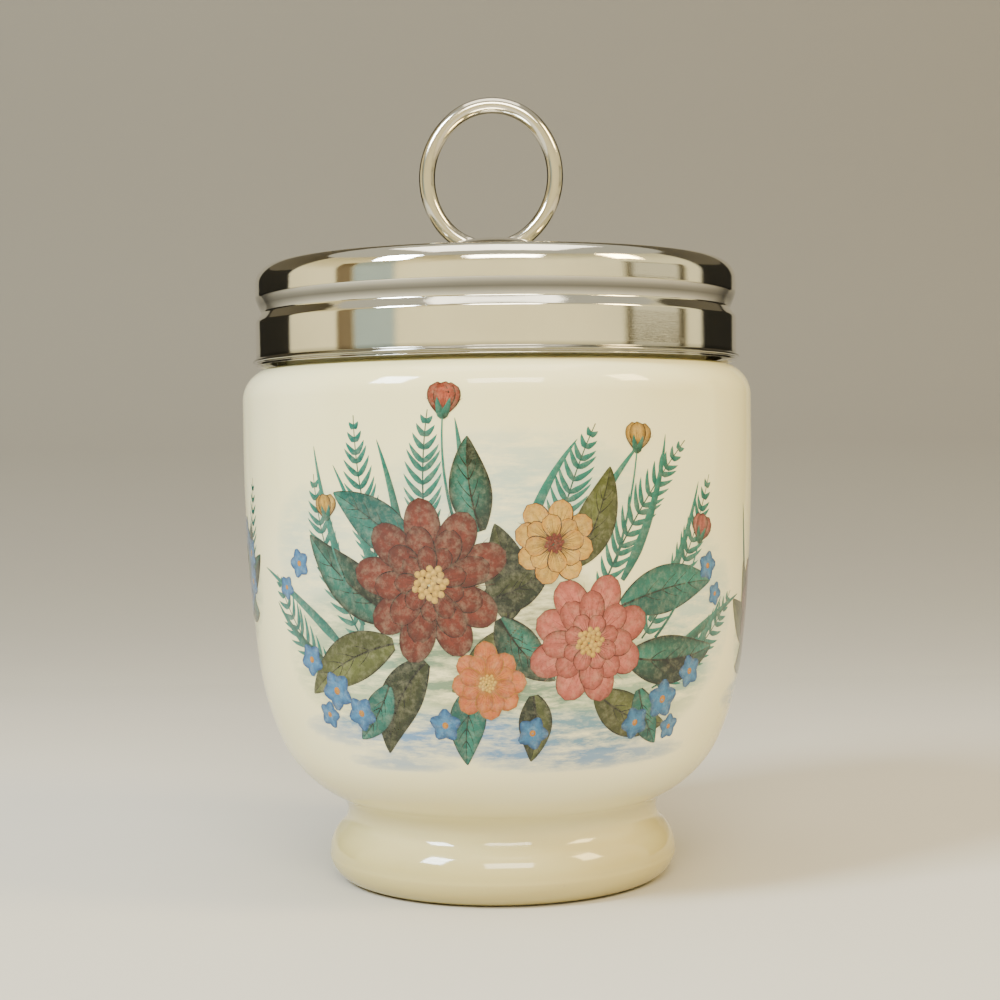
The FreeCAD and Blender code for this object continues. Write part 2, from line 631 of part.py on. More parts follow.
NODES = ["pot", "lid_cover", "lid_liner", "seal_ring", "ring_boss", "rivet_washer", "lift_ring"]


def check_and_write():
    """Every object is sound and every piece one valid solid before any file is written."""
    for item in doc.Objects:
        if "Invalid" in item.State or "Error" in item.State:
            raise RuntimeError("%s failed: %s" % (item.Name, item.State))
    for name in NODES:
        shape = doc.getObject(name).Shape
        if shape.isNull() or not shape.isValid() or len(shape.Solids) != 1:
            raise RuntimeError("%s is not one valid solid" % name)
    os.makedirs("parts", exist_ok=True)
    for name in NODES:
        shape = doc.getObject(name).Shape
        shape.exportStep("parts/%s.step" % name)
        box = shape.optimalBoundingBox()
        print("%s: %.1f mm3, x %.2f to %.2f, z %.2f to %.2f"
              % (name, shape.Volume, box.XMin, box.XMax, box.ZMin, box.ZMax))


make_pot()
make_lid_cover()
make_lid_liner()
make_seal_ring()
make_rivet_washer()
make_oval_wire("lift_ring", "wire_radius", "ring_slot / 2")
make_ring_boss()
doc.recompute()
check_and_write()
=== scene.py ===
"""Porcelain egg coddler with a printed bowl, a screw lid of polished steel and a lift ring.

Lengths in this script are in millimetres until a mesh is made, when MM turns them into metres.
"""
import math
import random

import bpy
from mathutils import Matrix, Vector


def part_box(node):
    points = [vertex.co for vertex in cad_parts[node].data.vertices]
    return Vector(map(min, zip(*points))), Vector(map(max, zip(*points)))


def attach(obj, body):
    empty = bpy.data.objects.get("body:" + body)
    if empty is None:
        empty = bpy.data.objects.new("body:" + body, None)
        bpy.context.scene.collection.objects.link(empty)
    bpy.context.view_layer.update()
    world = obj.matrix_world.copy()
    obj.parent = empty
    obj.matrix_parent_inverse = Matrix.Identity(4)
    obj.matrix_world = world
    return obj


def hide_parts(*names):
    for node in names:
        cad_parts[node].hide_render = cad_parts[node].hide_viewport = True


MM = 0.001
TAU = 2 * math.pi

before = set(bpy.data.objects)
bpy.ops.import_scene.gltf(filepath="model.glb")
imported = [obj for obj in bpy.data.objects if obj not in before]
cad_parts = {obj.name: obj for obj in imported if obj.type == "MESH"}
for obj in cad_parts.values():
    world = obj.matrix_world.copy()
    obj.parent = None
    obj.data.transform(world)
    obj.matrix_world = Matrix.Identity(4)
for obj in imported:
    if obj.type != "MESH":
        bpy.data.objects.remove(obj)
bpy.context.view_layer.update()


# Places read from the frame

def node_box(name):
    """Lowest and highest corner of a CAD node, in millimetres."""
    low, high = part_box(name)
    return [value / MM for value in low], [value / MM for value in high]


POT_HIGH = node_box("pot")[1]
COVER_LOW, COVER_HIGH = node_box("lid_cover")

# Sizes of the pot. Each SWEEP is the radius of an arc of its outline

BELLY_RADIUS = 33.0
BELLY_HEIGHT = 56.0
WALL_SWEEP = 245.0
WALL_TURN_HEIGHT = 29.0
FLANK_SWEEP = 37.0
BOWL_SWEEP = 14.9
WAIST_SWEEP = 2.55
WAIST_RADIUS = 20.28
FOOT_RADIUS = 22.66
FOOT_UPPER_SWEEP = 4.73
FOOT_GIRTH = 3.35
REST_WIDTH = 2.6
REST_EDGE = 0.25
RECESS_DEPTH = 8.4
RECESS_SWEEP = 3.0
POT_WALL = 3.4
SHOULDER_HEIGHT = 66.05
SHOULDER_SWEEP = 4.17
SHOULDER_WALL = 3.1
UNDER_SHOULDER = SHOULDER_HEIGHT - SHOULDER_WALL
UNDER_SWEEP = 2.4
NECK_RADIUS = 27.34
NECK_WALL = 3.0
NECK_ROOT_SWEEP = 0.3
MOUTH_RADIUS = NECK_RADIUS - NECK_WALL
MOUTH_ROOT_SWEEP = 0.5
RIM_HEIGHT = POT_HIGH[2]
RIM_SWEEP = 1.1
THREAD_PITCH = 5.0
THREAD_DEPTH = 1.5
THREAD_RISE = 3.0
THREAD_START = SHOULDER_HEIGHT + THREAD_RISE
THREAD_BASE = 2.3
THREAD_CREST = 1.0
THREAD_FADES = 14
THREAD_FREE = 0.6

# Zones of the pot's outline, and how close to the neck's radius a point of the neck lies

RIM_ZONE = 2.0
WAIST_ZONE = (5.0, 14.0)
NECK_TOLERANCE = 0.02

# The glaze lies this far inside the solid, so that the print on it stays within the solid

GLAZE_INSET = 0.06
GLAZE_END = 0.5
SLOPE_REACH = 0.3

# Sizes of the lid's cover

HEM_HEIGHT = COVER_LOW[2]
HEM_RADIUS = COVER_HIGH[0]
HEM_ROLL = 0.75
HEM_STEP = 0.8
LID_RADIUS = 31.15
SEAT_HEIGHT = COVER_HIGH[2]
SEAT_RADIUS = 9.6
LID_EDGE = HEM_HEIGHT + 12.8
LID_SHEET = 0.5
LID_HOLE = 2.65
GROOVE_BOTTOM = HEM_HEIGHT + 6.7
GROOVE_DEPTH = 0.8
GROOVE_BELOW = 1.15
GROOVE_ABOVE = 1.95
OUTLINE_START = 3.0
OUTLINE_FINISH = 3.1

# Where painted shade darkens the cover, in the groove's upper slope and at the hem, standing in for their
# dark reflections and shade: height, reach up and down from it, and strength

PAINTED_SHADE_PLACES = ((GROOVE_BOTTOM + 1.05, 1.05, 0.95), (HEM_HEIGHT + 0.6, 0.6, 0.75))

# Sizes of the button that holds the ring

BOSS_HEIGHT = 2.65
BOSS_RADIUS = 9.0
BOSS_RISE = 1.75
BOSS_EDGE = 0.85
DOME_SHARE = 0.97
STEM_RADIUS = 2.6
RIVET_RADIUS = 4.0
RIVET_TOP = 78.85
RIVET_BOTTOM = 77.95

# Sizes of the lift ring

RING_WIDTH = 18.8
RING_LENGTH = 20.7
RING_LIFT = 0.25
RING_ASIDE = -0.37
RING_LEAN = math.radians(6.2)
WIRE_RADIUS = 1.06
WIRE_END = 0.8

# How fine the meshes are

FEWEST_STEPS = 4
SMALL_ARC = 1.2
CORNER_STEP = 0.18
LEAST_TURN = 0.01
LEAST_GAP = 0.004
TINY = 1e-6
POT_SIDES = 296
COVER_SIDES = 240
BOSS_SIDES = 128
WIRE_SIDES = 28
NECK_STEP = 0.32
COVER_STEP = 0.55


# Meshes

def new_mesh(name, points, faces, smooth=True):
    """A mesh object from points in millimetres."""
    mesh = bpy.data.meshes.new(name)
    mesh.from_pydata([(x * MM, y * MM, z * MM) for x, y, z in points], [], faces)
    mesh.validate()
    mesh.polygons.foreach_set("use_smooth", [smooth] * len(mesh.polygons))
    piece = bpy.data.objects.new(name, mesh)
    bpy.context.scene.collection.objects.link(piece)
    return piece


def paint_points(piece, name, colours):
    """Keep a colour (red, green, blue, alpha) on each point of a mesh, for its material to read."""
    layer = piece.data.color_attributes.new(name, "FLOAT_COLOR", "POINT")
    layer.data.foreach_set("color", [value for colour in colours for value in colour])


def arc(centre, radius, begin, finish, step=0.35):
    """Points of an arc, about one step apart. A very small arc gets more points than that."""
    count = max(FEWEST_STEPS, int(abs(finish - begin) * max(radius, SMALL_ARC) / step))
    return [(centre[0] + radius * math.cos(begin + (finish - begin) * i / count),
             centre[1] + radius * math.sin(begin + (finish - begin) * i / count)) for i in range(count + 1)]


def rounded(corners):
    """An open outline with rounded corners. Each corner is (across, up, radius)."""
    points = [corners[0][:2]]
    for before, corner, after in zip(corners, corners[1:], corners[2:]):
        here = Vector(corner[:2])
        radius = corner[2]
        back = (Vector(before[:2]) - here).normalized()
        ahead = (Vector(after[:2]) - here).normalized()
        turn = math.pi - back.angle(ahead)
        if radius <= 0 or turn < LEAST_TURN:
            points.append(tuple(here))
            continue
        reach = radius * math.tan(turn / 2)
        middle = here + (back + ahead).normalized() * radius / math.cos(turn / 2)
        start = here + back * reach - middle
        sweep = turn if start.x * ahead.y - start.y * ahead.x > 0 else -turn
        begin = math.atan2(start.y, start.x)
        points.extend(arc(middle, radius, begin, begin + sweep, CORNER_STEP))
    points.append(corners[-1][:2])
    return points


def tidy(points, least=LEAST_GAP):
    """The outline without points that lie on each other."""
    kept = [points[0]]
    for point in points[1:]:
        if math.dist(point, kept[-1]) > least:
            kept.append(point)
    return kept


def split_long(points, longest):
    """The outline with extra points on its long straight stretches."""
    dense = [points[0]]
    for start, end in zip(points, points[1:]):
        parts = max(1, math.ceil(math.dist(start, end) / longest))
        dense.extend((start[0] + (end[0] - start[0]) * i / parts,
                      start[1] + (end[1] - start[1]) * i / parts) for i in range(1, parts + 1))
    return dense


def lathe(name, outline, around, swell=None):
    """Turn a closed outline about the Z axis. swell(across, up, angle) may change the radius."""
    points = []
    rings = []
    for across, up in outline:
        if across < TINY:
            rings.append([len(points)] * around)
            points.append((0.0, 0.0, up))
            continue
        ring = []
        for step in range(around):
            angle = TAU * step / around
            reach = swell(across, up, angle) if swell else across
            ring.append(len(points))
            points.append((reach * math.cos(angle), reach * math.sin(angle), up))
        rings.append(ring)
    faces = []
    for low, high in zip(rings, rings[1:] + rings[:1]):
        if low[0] == low[1] and high[0] == high[1]:
            continue
        for step in range(around):
            ahead = (step + 1) % around
            face = [low[step], low[ahead], high[ahead], high[step]]
            faces.append(list(dict.fromkeys(face)))
    return new_mesh(name, points, faces)


# Outline of the pot, from the same arcs as the solid

def bearing(centre, spot):
    """The angle at which a spot is seen from a centre."""
    return math.atan2(spot[1] - centre[1], spot[0] - centre[0])


def crossing(first, first_radius, second, second_radius):
    """The outer one of the two points where two circles cross."""
    across = second[0] - first[0]
    up = second[1] - first[1]
    distance = math.hypot(across, up)
    along = (first_radius ** 2 - second_radius ** 2 + distance ** 2) / (2 * distance)
    aside = math.sqrt(first_radius ** 2 - along ** 2)
    return max((first[0] + (across * along - side * up * aside) / distance,
                first[1] + (up * along + side * across * aside) / distance) for side in (1, -1))


def pot_outlines():
    """(outer outline from the rest ring to the neck, the rest of the section back to the start)."""
    foot_low = (FOOT_RADIUS - FOOT_GIRTH, FOOT_GIRTH)
    foot_up = (FOOT_RADIUS - FOOT_UPPER_SWEEP, FOOT_GIRTH)
    waist_across = WAIST_RADIUS + WAIST_SWEEP
    reach = FOOT_UPPER_SWEEP + WAIST_SWEEP
    waist = (waist_across, FOOT_GIRTH + math.sqrt(reach ** 2 - (waist_across - foot_up[0]) ** 2))
    upper = (BELLY_RADIUS - WALL_SWEEP, BELLY_HEIGHT)
    turn = -math.asin((BELLY_HEIGHT - WALL_TURN_HEIGHT) / WALL_SWEEP)
    drop = WALL_SWEEP - FLANK_SWEEP
    flank = (upper[0] + drop * math.cos(turn), upper[1] + drop * math.sin(turn))
    bowl = crossing(waist, WAIST_SWEEP + BOWL_SWEEP, flank, FLANK_SWEEP - BOWL_SWEEP)
    foot_turn = bearing(foot_up, waist)
    waist_turn = bearing(bowl, waist)
    flank_turn = bearing(flank, bowl)
    quarter = math.pi / 2
    shoulder = (BELLY_RADIUS - SHOULDER_SWEEP, SHOULDER_HEIGHT - SHOULDER_SWEEP)
    outer = [(foot_low[0], 0.0)]
    outer += arc(foot_low, FOOT_GIRTH, -quarter, 0, step=0.2)
    outer += arc(foot_up, FOOT_UPPER_SWEEP, 0, foot_turn, step=0.25)
    outer += arc(waist, WAIST_SWEEP, foot_turn + math.pi, waist_turn + math.pi, step=0.15)
    outer += arc(bowl, BOWL_SWEEP, waist_turn, flank_turn, step=0.4)
    outer += arc(flank, FLANK_SWEEP, flank_turn, turn, step=0.6)
    outer += arc(upper, WALL_SWEEP, turn, 0, step=0.9)
    outer += arc(shoulder, SHOULDER_SWEEP, 0, quarter, step=0.25)
    outer = split_long(tidy(outer), longest=1.0)
    inside = BELLY_RADIUS - POT_WALL
    rest = rounded([(shoulder[0], SHOULDER_HEIGHT, 0), (NECK_RADIUS, SHOULDER_HEIGHT, NECK_ROOT_SWEEP),
                    (NECK_RADIUS, RIM_HEIGHT, RIM_SWEEP), (MOUTH_RADIUS, RIM_HEIGHT, RIM_SWEEP),
                    (MOUTH_RADIUS, UNDER_SHOULDER, MOUTH_ROOT_SWEEP), (inside, UNDER_SHOULDER, UNDER_SWEEP),
                    (inside, BELLY_HEIGHT, 0)])
    rest += arc(upper, WALL_SWEEP - POT_WALL, 0, turn, step=1.5)
    rest += arc(flank, FLANK_SWEEP - POT_WALL, turn, flank_turn, step=1.2)
    rest += arc(bowl, BOWL_SWEEP - POT_WALL, flank_turn, -quarter, step=0.8)
    floor = bowl[1] - BOWL_SWEEP + POT_WALL
    ring = foot_low[0] - REST_WIDTH
    rest += [(0.0, floor), (0.0, RECESS_DEPTH), (ring - RECESS_SWEEP, RECESS_DEPTH)]
    rest += arc((ring - RECESS_SWEEP, RECESS_DEPTH - RECESS_SWEEP), RECESS_SWEEP, quarter, 0, step=0.4)
    rest += [(ring, REST_EDGE), (ring + REST_EDGE, 0.0)]
    return outer, tidy(rest)


def thread_swell(across, up, angle):
    """The neck's screw ridge, which fades in and out at its ends."""
    on_neck = abs(across - NECK_RADIUS) <= NECK_TOLERANCE
    if not on_neck or up < SHOULDER_HEIGHT + THREAD_FREE:
        return across
    turned = angle / TAU
    ridge = THREAD_START + THREAD_PITCH * turned
    away = abs(up - ridge)
    slope = (THREAD_BASE - THREAD_CREST) / 2
    height = min(1.0, max(0.0, (THREAD_BASE / 2 - away) / slope))
    fade = min(1.0, THREAD_FADES * turned, THREAD_FADES * (1 - turned))
    return across + THREAD_DEPTH * max(0.0, fade) * height * height * (3 - 2 * height)


OUTER, REST = pot_outlines()

# How many points of the rest belong to the neck, where the thread needs a close mesh

NECK_POINTS = 1 + max(index for index, (across, up) in enumerate(REST) if up > RIM_HEIGHT - RIM_ZONE)

WAIST_HEIGHT = min((spot for spot in OUTER if WAIST_ZONE[0] < spot[1] < WAIST_ZONE[1]),
                   key=lambda spot: spot[0])[1]


def wall_radius(up):
    """Outer radius of the bowl at a height over the waist."""
    for (across, low), (beyond, high) in zip(OUTER, OUTER[1:]):
        if low <= up <= high and low > WAIST_HEIGHT:
            return across + (beyond - across) * (up - low) / max(high - low, TINY)
    return BELLY_RADIUS


def on_wall(along, up, lift):
    """A place of the print: along the girth from the front, and up, lifted off the glaze."""
    angle = along / BELLY_RADIUS
    slope = (wall_radius(up + SLOPE_REACH) - wall_radius(up - SLOPE_REACH)) / (2 * SLOPE_REACH)
    length = math.hypot(1, slope)
    reach = wall_radius(up) - GLAZE_INSET + lift / length
    return (reach * math.sin(angle), -reach * math.cos(angle), up - lift * slope / length)


# Materials

# Numbers of the colour sockets of a mix node, whose names aren't unique

MIX_FACTOR = 0
MIX_FIRST = 6
MIX_SECOND = 7
MIX_RESULT = 2


class Shader:
    """A node material with short calls for its nodes and links."""

    def __init__(self, name):
        self.material = bpy.data.materials.new(name)
        self.material.use_nodes = True
        self.nodes = self.material.node_tree.nodes
        self.links = self.material.node_tree.links
        self.surface = self.nodes["Principled BSDF"]

    def set(self, **values):
        """Give the surface's own sockets a value each."""
        for key, value in values.items():
            self.surface.inputs[key.replace("_", " ")].default_value = value

    def add(self, kind, **values):
        """A new node with some of its settings."""
        node = self.nodes.new("ShaderNode" + kind)
        for key, value in values.items():
            setattr(node, key, value)
        return node

    def link(self, output, socket):
        self.links.new(output, socket)

    def colour(self, tone):
        """Link the surface's colour."""
        self.link(tone, self.surface.inputs["Base Color"])

    def place(self):
        """The place in the piece's own space."""
        return self.add("TexCoord").outputs["Object"]

    def coordinate(self, axis):
        """One coordinate of the place in the piece's own space, in metres."""
        split = self.add("SeparateXYZ")
        self.link(self.place(), split.inputs["Vector"])
        return split.outputs[axis]

    def noise(self, scale, detail=4.0, rough=0.55, stretch=None):
        """Noise from 0 to 1, stretched along an axis where stretch says so."""
        node = self.add("TexNoise")
        node.inputs["Scale"].default_value = scale
        node.inputs["Detail"].default_value = detail
        node.inputs["Roughness"].default_value = rough
        source = self.place()
        if stretch:
            mapping = self.add("Mapping")
            mapping.inputs["Scale"].default_value = stretch
            self.link(source, mapping.inputs["Vector"])
            source = mapping.outputs["Vector"]
        self.link(source, node.inputs["Vector"])
        return node.outputs["Fac"]

    def spread(self, source, values, results=(0.0, 1.0)):
        """Map a range of values to a range of results, held at its ends."""
        node = self.add("MapRange")
        for name, value in zip(("From Min", "From Max", "To Min", "To Max"), (*values, *results)):
            node.inputs[name].default_value = value
        self.link(source, node.inputs["Value"])
        return node.outputs["Result"]

    def mix(self, factor, first, second, blend="MIX"):
        """Mix two colours. Each of them is a tone or the output of a node."""
        node = self.add("Mix", data_type="RGBA", blend_type=blend)
        for number, value in zip((MIX_FACTOR, MIX_FIRST, MIX_SECOND), (factor, first, second)):
            if isinstance(value, tuple):
                node.inputs[number].default_value = (*value, 1.0)
            else:
                self.link(value, node.inputs[number])
        return node.outputs[MIX_RESULT]

    def bump(self, height, strength, distance):
        """Raise the surface by a height, without moving its mesh."""
        node = self.add("Bump")
        node.inputs["Strength"].default_value = strength
        node.inputs["Distance"].default_value = distance
        self.link(height, node.inputs["Height"])
        self.link(node.outputs["Normal"], self.surface.inputs["Normal"])


IVORY = (0.81, 0.745, 0.41)
MILK = (0.83, 0.785, 0.52)
# Painted shade: the darker, yellower tone the glaze takes towards the foot
PAINTED_FOOT_SHADE = (0.44, 0.365, 0.14)
SPECK_TONE = (0.36, 0.27, 0.16)
MOTTLE_TONE = (0.42, 0.40, 0.38)
GLOW_REACH = (1.0, 0.7, 0.4)
RUBBER_TONE = (0.32, 0.09, 0.05)
RUBBER_BLOOM = (0.42, 0.2, 0.15)
LID_TONE = (0.83, 0.805, 0.705)
WIRE_TONE = (0.60, 0.565, 0.475)
LINER_TONE = (0.62, 0.61, 0.58)
SMEAR_SHADE = 0.93
# Painted shade: what is left of the steel's light in the darkest part of the cover's groove and hem
PAINTED_SHADE_SHARE = 0.10
UNBRUSHED = (1.0, 1.0, 1.0)
TURNED = (1.0, 1.0, 30.0)
BRUSHED_ACROSS = (1.0, 1.0, 4.5)


def shaded(tone, share):
    """A tone made darker. share is what is left of its light."""
    return tuple(c * share for c in tone)


def glaze_surface(shader):
    """A glassy coat with a little depth, and the glaze's slow waves."""
    shader.set(Roughness=0.08, IOR=1.47, Coat_Weight=0.15, Coat_Roughness=0.03)
    shader.set(Subsurface_Weight=0.12, Subsurface_Scale=0.002, Subsurface_Radius=GLOW_REACH)
    waves = shader.noise(38.0, detail=2.0)
    shader.bump(waves, strength=0.12, distance=0.0006)


def porcelain():
    """Ivory glaze, warmer in places, with painted shade that darkens and yellows it towards the foot, and the
    soft washes of the print.
    """
    shader = Shader("porcelain_glaze")
    patches = shader.spread(shader.noise(22.0, detail=3.0), (0.35, 0.65))
    tone = shader.mix(patches, IVORY, MILK)
    # Painted shade: the glaze darkens and yellows towards the foot
    low = shader.spread(shader.coordinate("Z"), (0.004, 0.017), (0.9, 0.0))
    tone = shader.mix(low, tone, PAINTED_FOOT_SHADE)
    specks = shader.spread(shader.noise(900.0, detail=1.0), (0.80, 0.84), (0.0, 0.35))
    tone = shader.mix(specks, tone, SPECK_TONE)
    wash = shader.add("Attribute", attribute_name="wash")
    strokes = shader.noise(170.0, detail=6.0, rough=0.72, stretch=BRUSHED_ACROSS)
    grain = shader.spread(strokes, (0.34, 0.56), (0.05, 1.0))
    strength = shader.add("Math", operation="MULTIPLY")
    shader.link(wash.outputs["Alpha"], strength.inputs[0])
    shader.link(grain, strength.inputs[1])
    tone = shader.mix(strength.outputs["Value"], tone, wash.outputs["Color"])
    shader.colour(tone)
    glaze_surface(shader)
    return shader.material


def print_ink():
    """The print's own colours under the glaze, mottled like brushed colour."""
    shader = Shader("printed_colour")
    tint = shader.add("Attribute", attribute_name="tint")
    blot = shader.spread(shader.noise(1100.0, detail=5.0, rough=0.7), (0.46, 0.70), (0.0, 0.10))
    tone = shader.mix(blot, tint.outputs["Color"], MILK)
    dark = shader.spread(shader.noise(2400.0, detail=5.0, rough=0.7), (0.47, 0.64), (0.0, 0.50))
    tone = shader.mix(dark, tone, MOTTLE_TONE, "MULTIPLY")
    shader.colour(tone)
    glaze_surface(shader)
    return shader.material


def polished_steel(name, tone, rough, brushed):
    """Polished sheet or wire with turning lines, smears and fine scratches, and painted shade in the folds of
    the cover.
    """
    shader = Shader(name)
    shader.set(Metallic=1.0, Specular_IOR_Level=0.5)
    smear = shader.noise(60.0, detail=5.0, rough=0.6)
    tint = shader.mix(shader.spread(smear, (0.4, 0.6)), tone, shaded(tone, SMEAR_SHADE))
    # Painted shade: the cover's groove and hem are darkened by a colour kept on its points
    painted_shade = shader.add("Attribute", attribute_name="painted_shade")
    tint = shader.mix(painted_shade.outputs["Fac"], tint, shaded(tone, PAINTED_SHADE_SHARE))
    shader.colour(tint)
    dulled = shader.spread(smear, (0.35, 0.7), (rough * 0.7, rough * 1.7))
    shader.link(dulled, shader.surface.inputs["Roughness"])
    lines = shader.noise(400.0, detail=6.0, rough=0.7, stretch=brushed)
    shader.bump(lines, strength=0.05, distance=0.00008)
    return shader.material


def rubber():
    """Dull red-brown rubber with a soft bloom."""
    shader = Shader("seal_rubber")
    bloom = shader.spread(shader.noise(300.0, detail=4.0), (0.4, 0.7), (0.0, 0.5))
    shader.colour(shader.mix(bloom, RUBBER_TONE, RUBBER_BLOOM))
    shader.set(Roughness=0.62)
    shader.bump(shader.noise(900.0, detail=3.0), strength=0.2, distance=0.0001)
    return shader.material


# The print: a spray of garden flowers, drawn as thin shapes that lie on the glaze

RUST = (0.035, 0.006, 0.004)
BRICK = (0.16, 0.024, 0.012)
CORAL = (0.42, 0.075, 0.042)
PINK = (0.50, 0.135, 0.105)
OCHRE = (0.50, 0.20, 0.014)
STRAW = (0.64, 0.38, 0.065)
UMBER = (0.06, 0.022, 0.007)
TEAL = (0.004, 0.062, 0.052)
SEA = (0.022, 0.19, 0.14)
OLIVE = (0.035, 0.041, 0.009)
MOSS = (0.11, 0.13, 0.03)
DARK_LEAF = (0.005, 0.012, 0.006)
SKY = (0.055, 0.24, 0.46)
DEEP_BLUE = (0.009, 0.05, 0.15)


def blend(first, second, share):
    """The tone between two tones, at a share held from 0 to 1."""
    share = min(1.0, max(0.0, share))
    return tuple(a + (b - a) * share for a, b in zip(first, second))


def taper(thick, least):
    """Half the width of a line that thins along its length."""
    return lambda t: thick * (1 - t) + least


def sideways(spine, index):
    """The direction to the left of a spine at one of its points."""
    before = spine[max(index - 1, 0)]
    after = spine[min(index + 1, len(spine) - 1)]
    run = math.hypot(after[0] - before[0], after[1] - before[1]) or 1.0
    return (-(after[1] - before[1]) / run, (after[0] - before[0]) / run)


class Drawing:
    """Shapes gathered into one mesh. A shape of a higher layer lies a little further off the glaze."""

    BASE_LIFT = 0.008
    LAYER = 0.0006
    SAMPLES = 20
    FEWEST_STEPS = 5
    FEWEST_PAIRS = 5
    LEAFLET_GAP = 1.35
    DOT_SIDES = 12
    SEEDS = 26
    GOLDEN_ANGLE = 2.39996
    RIB_SHADE = 0.3
    EDGE_SHADE = 0.55
    VEIN_SHADE = 0.6
    SEED_SHADE = 0.45
    HEART_SHADE = 0.6

    def __init__(self, seed):
        self.random = random.Random(seed)
        self.points = []
        self.faces = []
        self.tints = []
        self.layer = 0

    def restart(self, layer):
        """Draw the next shapes from this layer on."""
        self.layer = layer

    def edge(self, spine, width, ink):
        """A fine drawn line along both sides of a shape."""
        last = len(spine) - 1
        for side in (1, -1):
            line = []
            for index, (along, up) in enumerate(spine):
                out = sideways(spine, index)
                reach = side * width(index / last)
                line.append((along + out[0] * reach, up + out[1] * reach))
            self.ribbon(line, lambda t: 0.05 + 0.03 * math.sin(5 * t + side), lambda t, u: ink)

    def ribbon(self, spine, width, colour, across=0.4):
        """A shape along a spine. width(t) is half the width and colour(t, u) the tint.

        t runs along the spine from 0 to 1, and u across it from -1 to 1.
        """
        lift = self.BASE_LIFT + self.LAYER * self.layer
        widest = max(width(i / self.SAMPLES) for i in range(self.SAMPLES + 1))
        columns = max(2, 2 * math.ceil(widest / across))
        rows = []
        last = len(spine) - 1
        for index, (along, up) in enumerate(spine):
            t = index / last
            side = sideways(spine, index)
            row = []
            for column in range(columns + 1):
                u = 2 * column / columns - 1
                reach = u * width(t)
                row.append(len(self.points))
                self.points.append(on_wall(along + side[0] * reach, up + side[1] * reach, lift))
                self.tints.append(colour(t, u))
            rows.append(row)
        for low, high in zip(rows, rows[1:]):
            for column in range(columns):
                self.faces.append([low[column], low[column + 1], high[column + 1], high[column]])

    def curve(self, start, angle, length, bend, step=0.5):
        """Points of a curve that turns steadily by bend radians over its length."""
        count = max(self.FEWEST_STEPS, math.ceil(length / step))
        along, up = start
        spine = [(along, up)]
        for index in range(count):
            heading = angle + bend * (index + 0.5) / count
            along += math.cos(heading) * length / count
            up += math.sin(heading) * length / count
            spine.append((along, up))
        return spine

    def stem(self, start, angle, length, bend, thick, tone, tip):
        """A stem that thins from its foot to its tip and passes from one tone to another."""
        spine = self.curve(start, angle, length, bend)
        self.ribbon(spine, lambda t: thick * (1 - 0.55 * t), lambda t, u: blend(tone, tip, t))
        return spine

    def leaf(self, start, angle, length, bend, wide, tone, light):
        """A pointed leaf with a darker edge, a lighter flank and fine veins."""
        spine = self.curve(start, angle, length, bend)
        wave = self.random.uniform(0, 6)
        rib = shaded(tone, self.RIB_SHADE)

        def width(t):
            return wide * math.sin(math.pi * min(1, 0.04 + t * 0.96)) ** 0.8 * (1 - 0.35 * t) + 0.04

        def colour(t, u):
            flank = (0.55 if u > 0 else 0.15) * (1 - abs(u) ** 3)
            return blend(tone, light, flank + 0.25 * math.sin(wave + 7 * t) * (1 - abs(u)))

        self.ribbon(spine, width, colour)
        self.layer += 1
        self.edge(spine, width, rib)
        self.ribbon(spine[:-1], taper(0.11, 0.03), lambda t, u: rib)
        for share in (0.25, 0.4, 0.55, 0.7):
            spot = spine[int(share * (len(spine) - 1))]
            heading = angle + bend * share
            for side in (1, -1):
                vein = self.curve(spot, heading + side * 0.7, width(share) * 1.05, -side * 0.4, 0.4)
                self.ribbon(vein, taper(0.055, 0.02), lambda t, u: rib)
        self.layer += 1

    def blade(self, start, angle, length, bend, wide, tone, light):
        """A narrow pointed leaf without veins."""
        spine = self.curve(start, angle, length, bend)
        self.ribbon(spine, lambda t: wide * (1 - t) ** 0.7 * min(1, 0.35 + 3 * t) + 0.02,
                    lambda t, u: blend(tone, light, 0.25 + 0.5 * t + 0.25 * u))

    def petal(self, centre, angle, length, wide, deep, light, edge):
        """A broad petal, deep at its base, light in the middle and toned along its edge."""
        start = (centre[0] + math.cos(angle) * length * 0.1, centre[1] + math.sin(angle) * length * 0.1)
        spine = self.curve(start, angle, length * 0.9, self.random.uniform(-0.25, 0.25), 0.45)
        shade = self.random.uniform(-0.12, 0.12)

        def width(t):
            round_end = math.sqrt(max(0.0, 1 - max(0.0, (t - 0.62) / 0.38) ** 2))
            return wide * (0.22 + 0.78 * math.sin(min(1.0, t / 0.62) * math.pi / 2) ** 1.2) * round_end + 0.02

        def colour(t, u):
            tone = blend(deep, light, 1.7 * t * (1.25 - t) + shade - 0.12 * math.cos(9 * u))
            return blend(tone, edge, max(0.0, abs(u) ** 3 * 0.8, (t - 0.8) * 4 * 0.6))

        self.ribbon(spine, width, colour)
        self.layer += 1
        self.edge(spine, width, shaded(deep, self.EDGE_SHADE))
        for side in (-0.75, -0.5, -0.25, 0.0, 0.25, 0.5, 0.75):
            reach = length * self.random.uniform(0.5, 0.82)
            vein = self.curve(start, angle + side * 0.55, reach, side * 0.25, 0.5)
            self.ribbon(vein, taper(0.055, 0.016),
                        lambda t, u: shaded(blend(deep, light, t * 0.7), self.VEIN_SHADE))

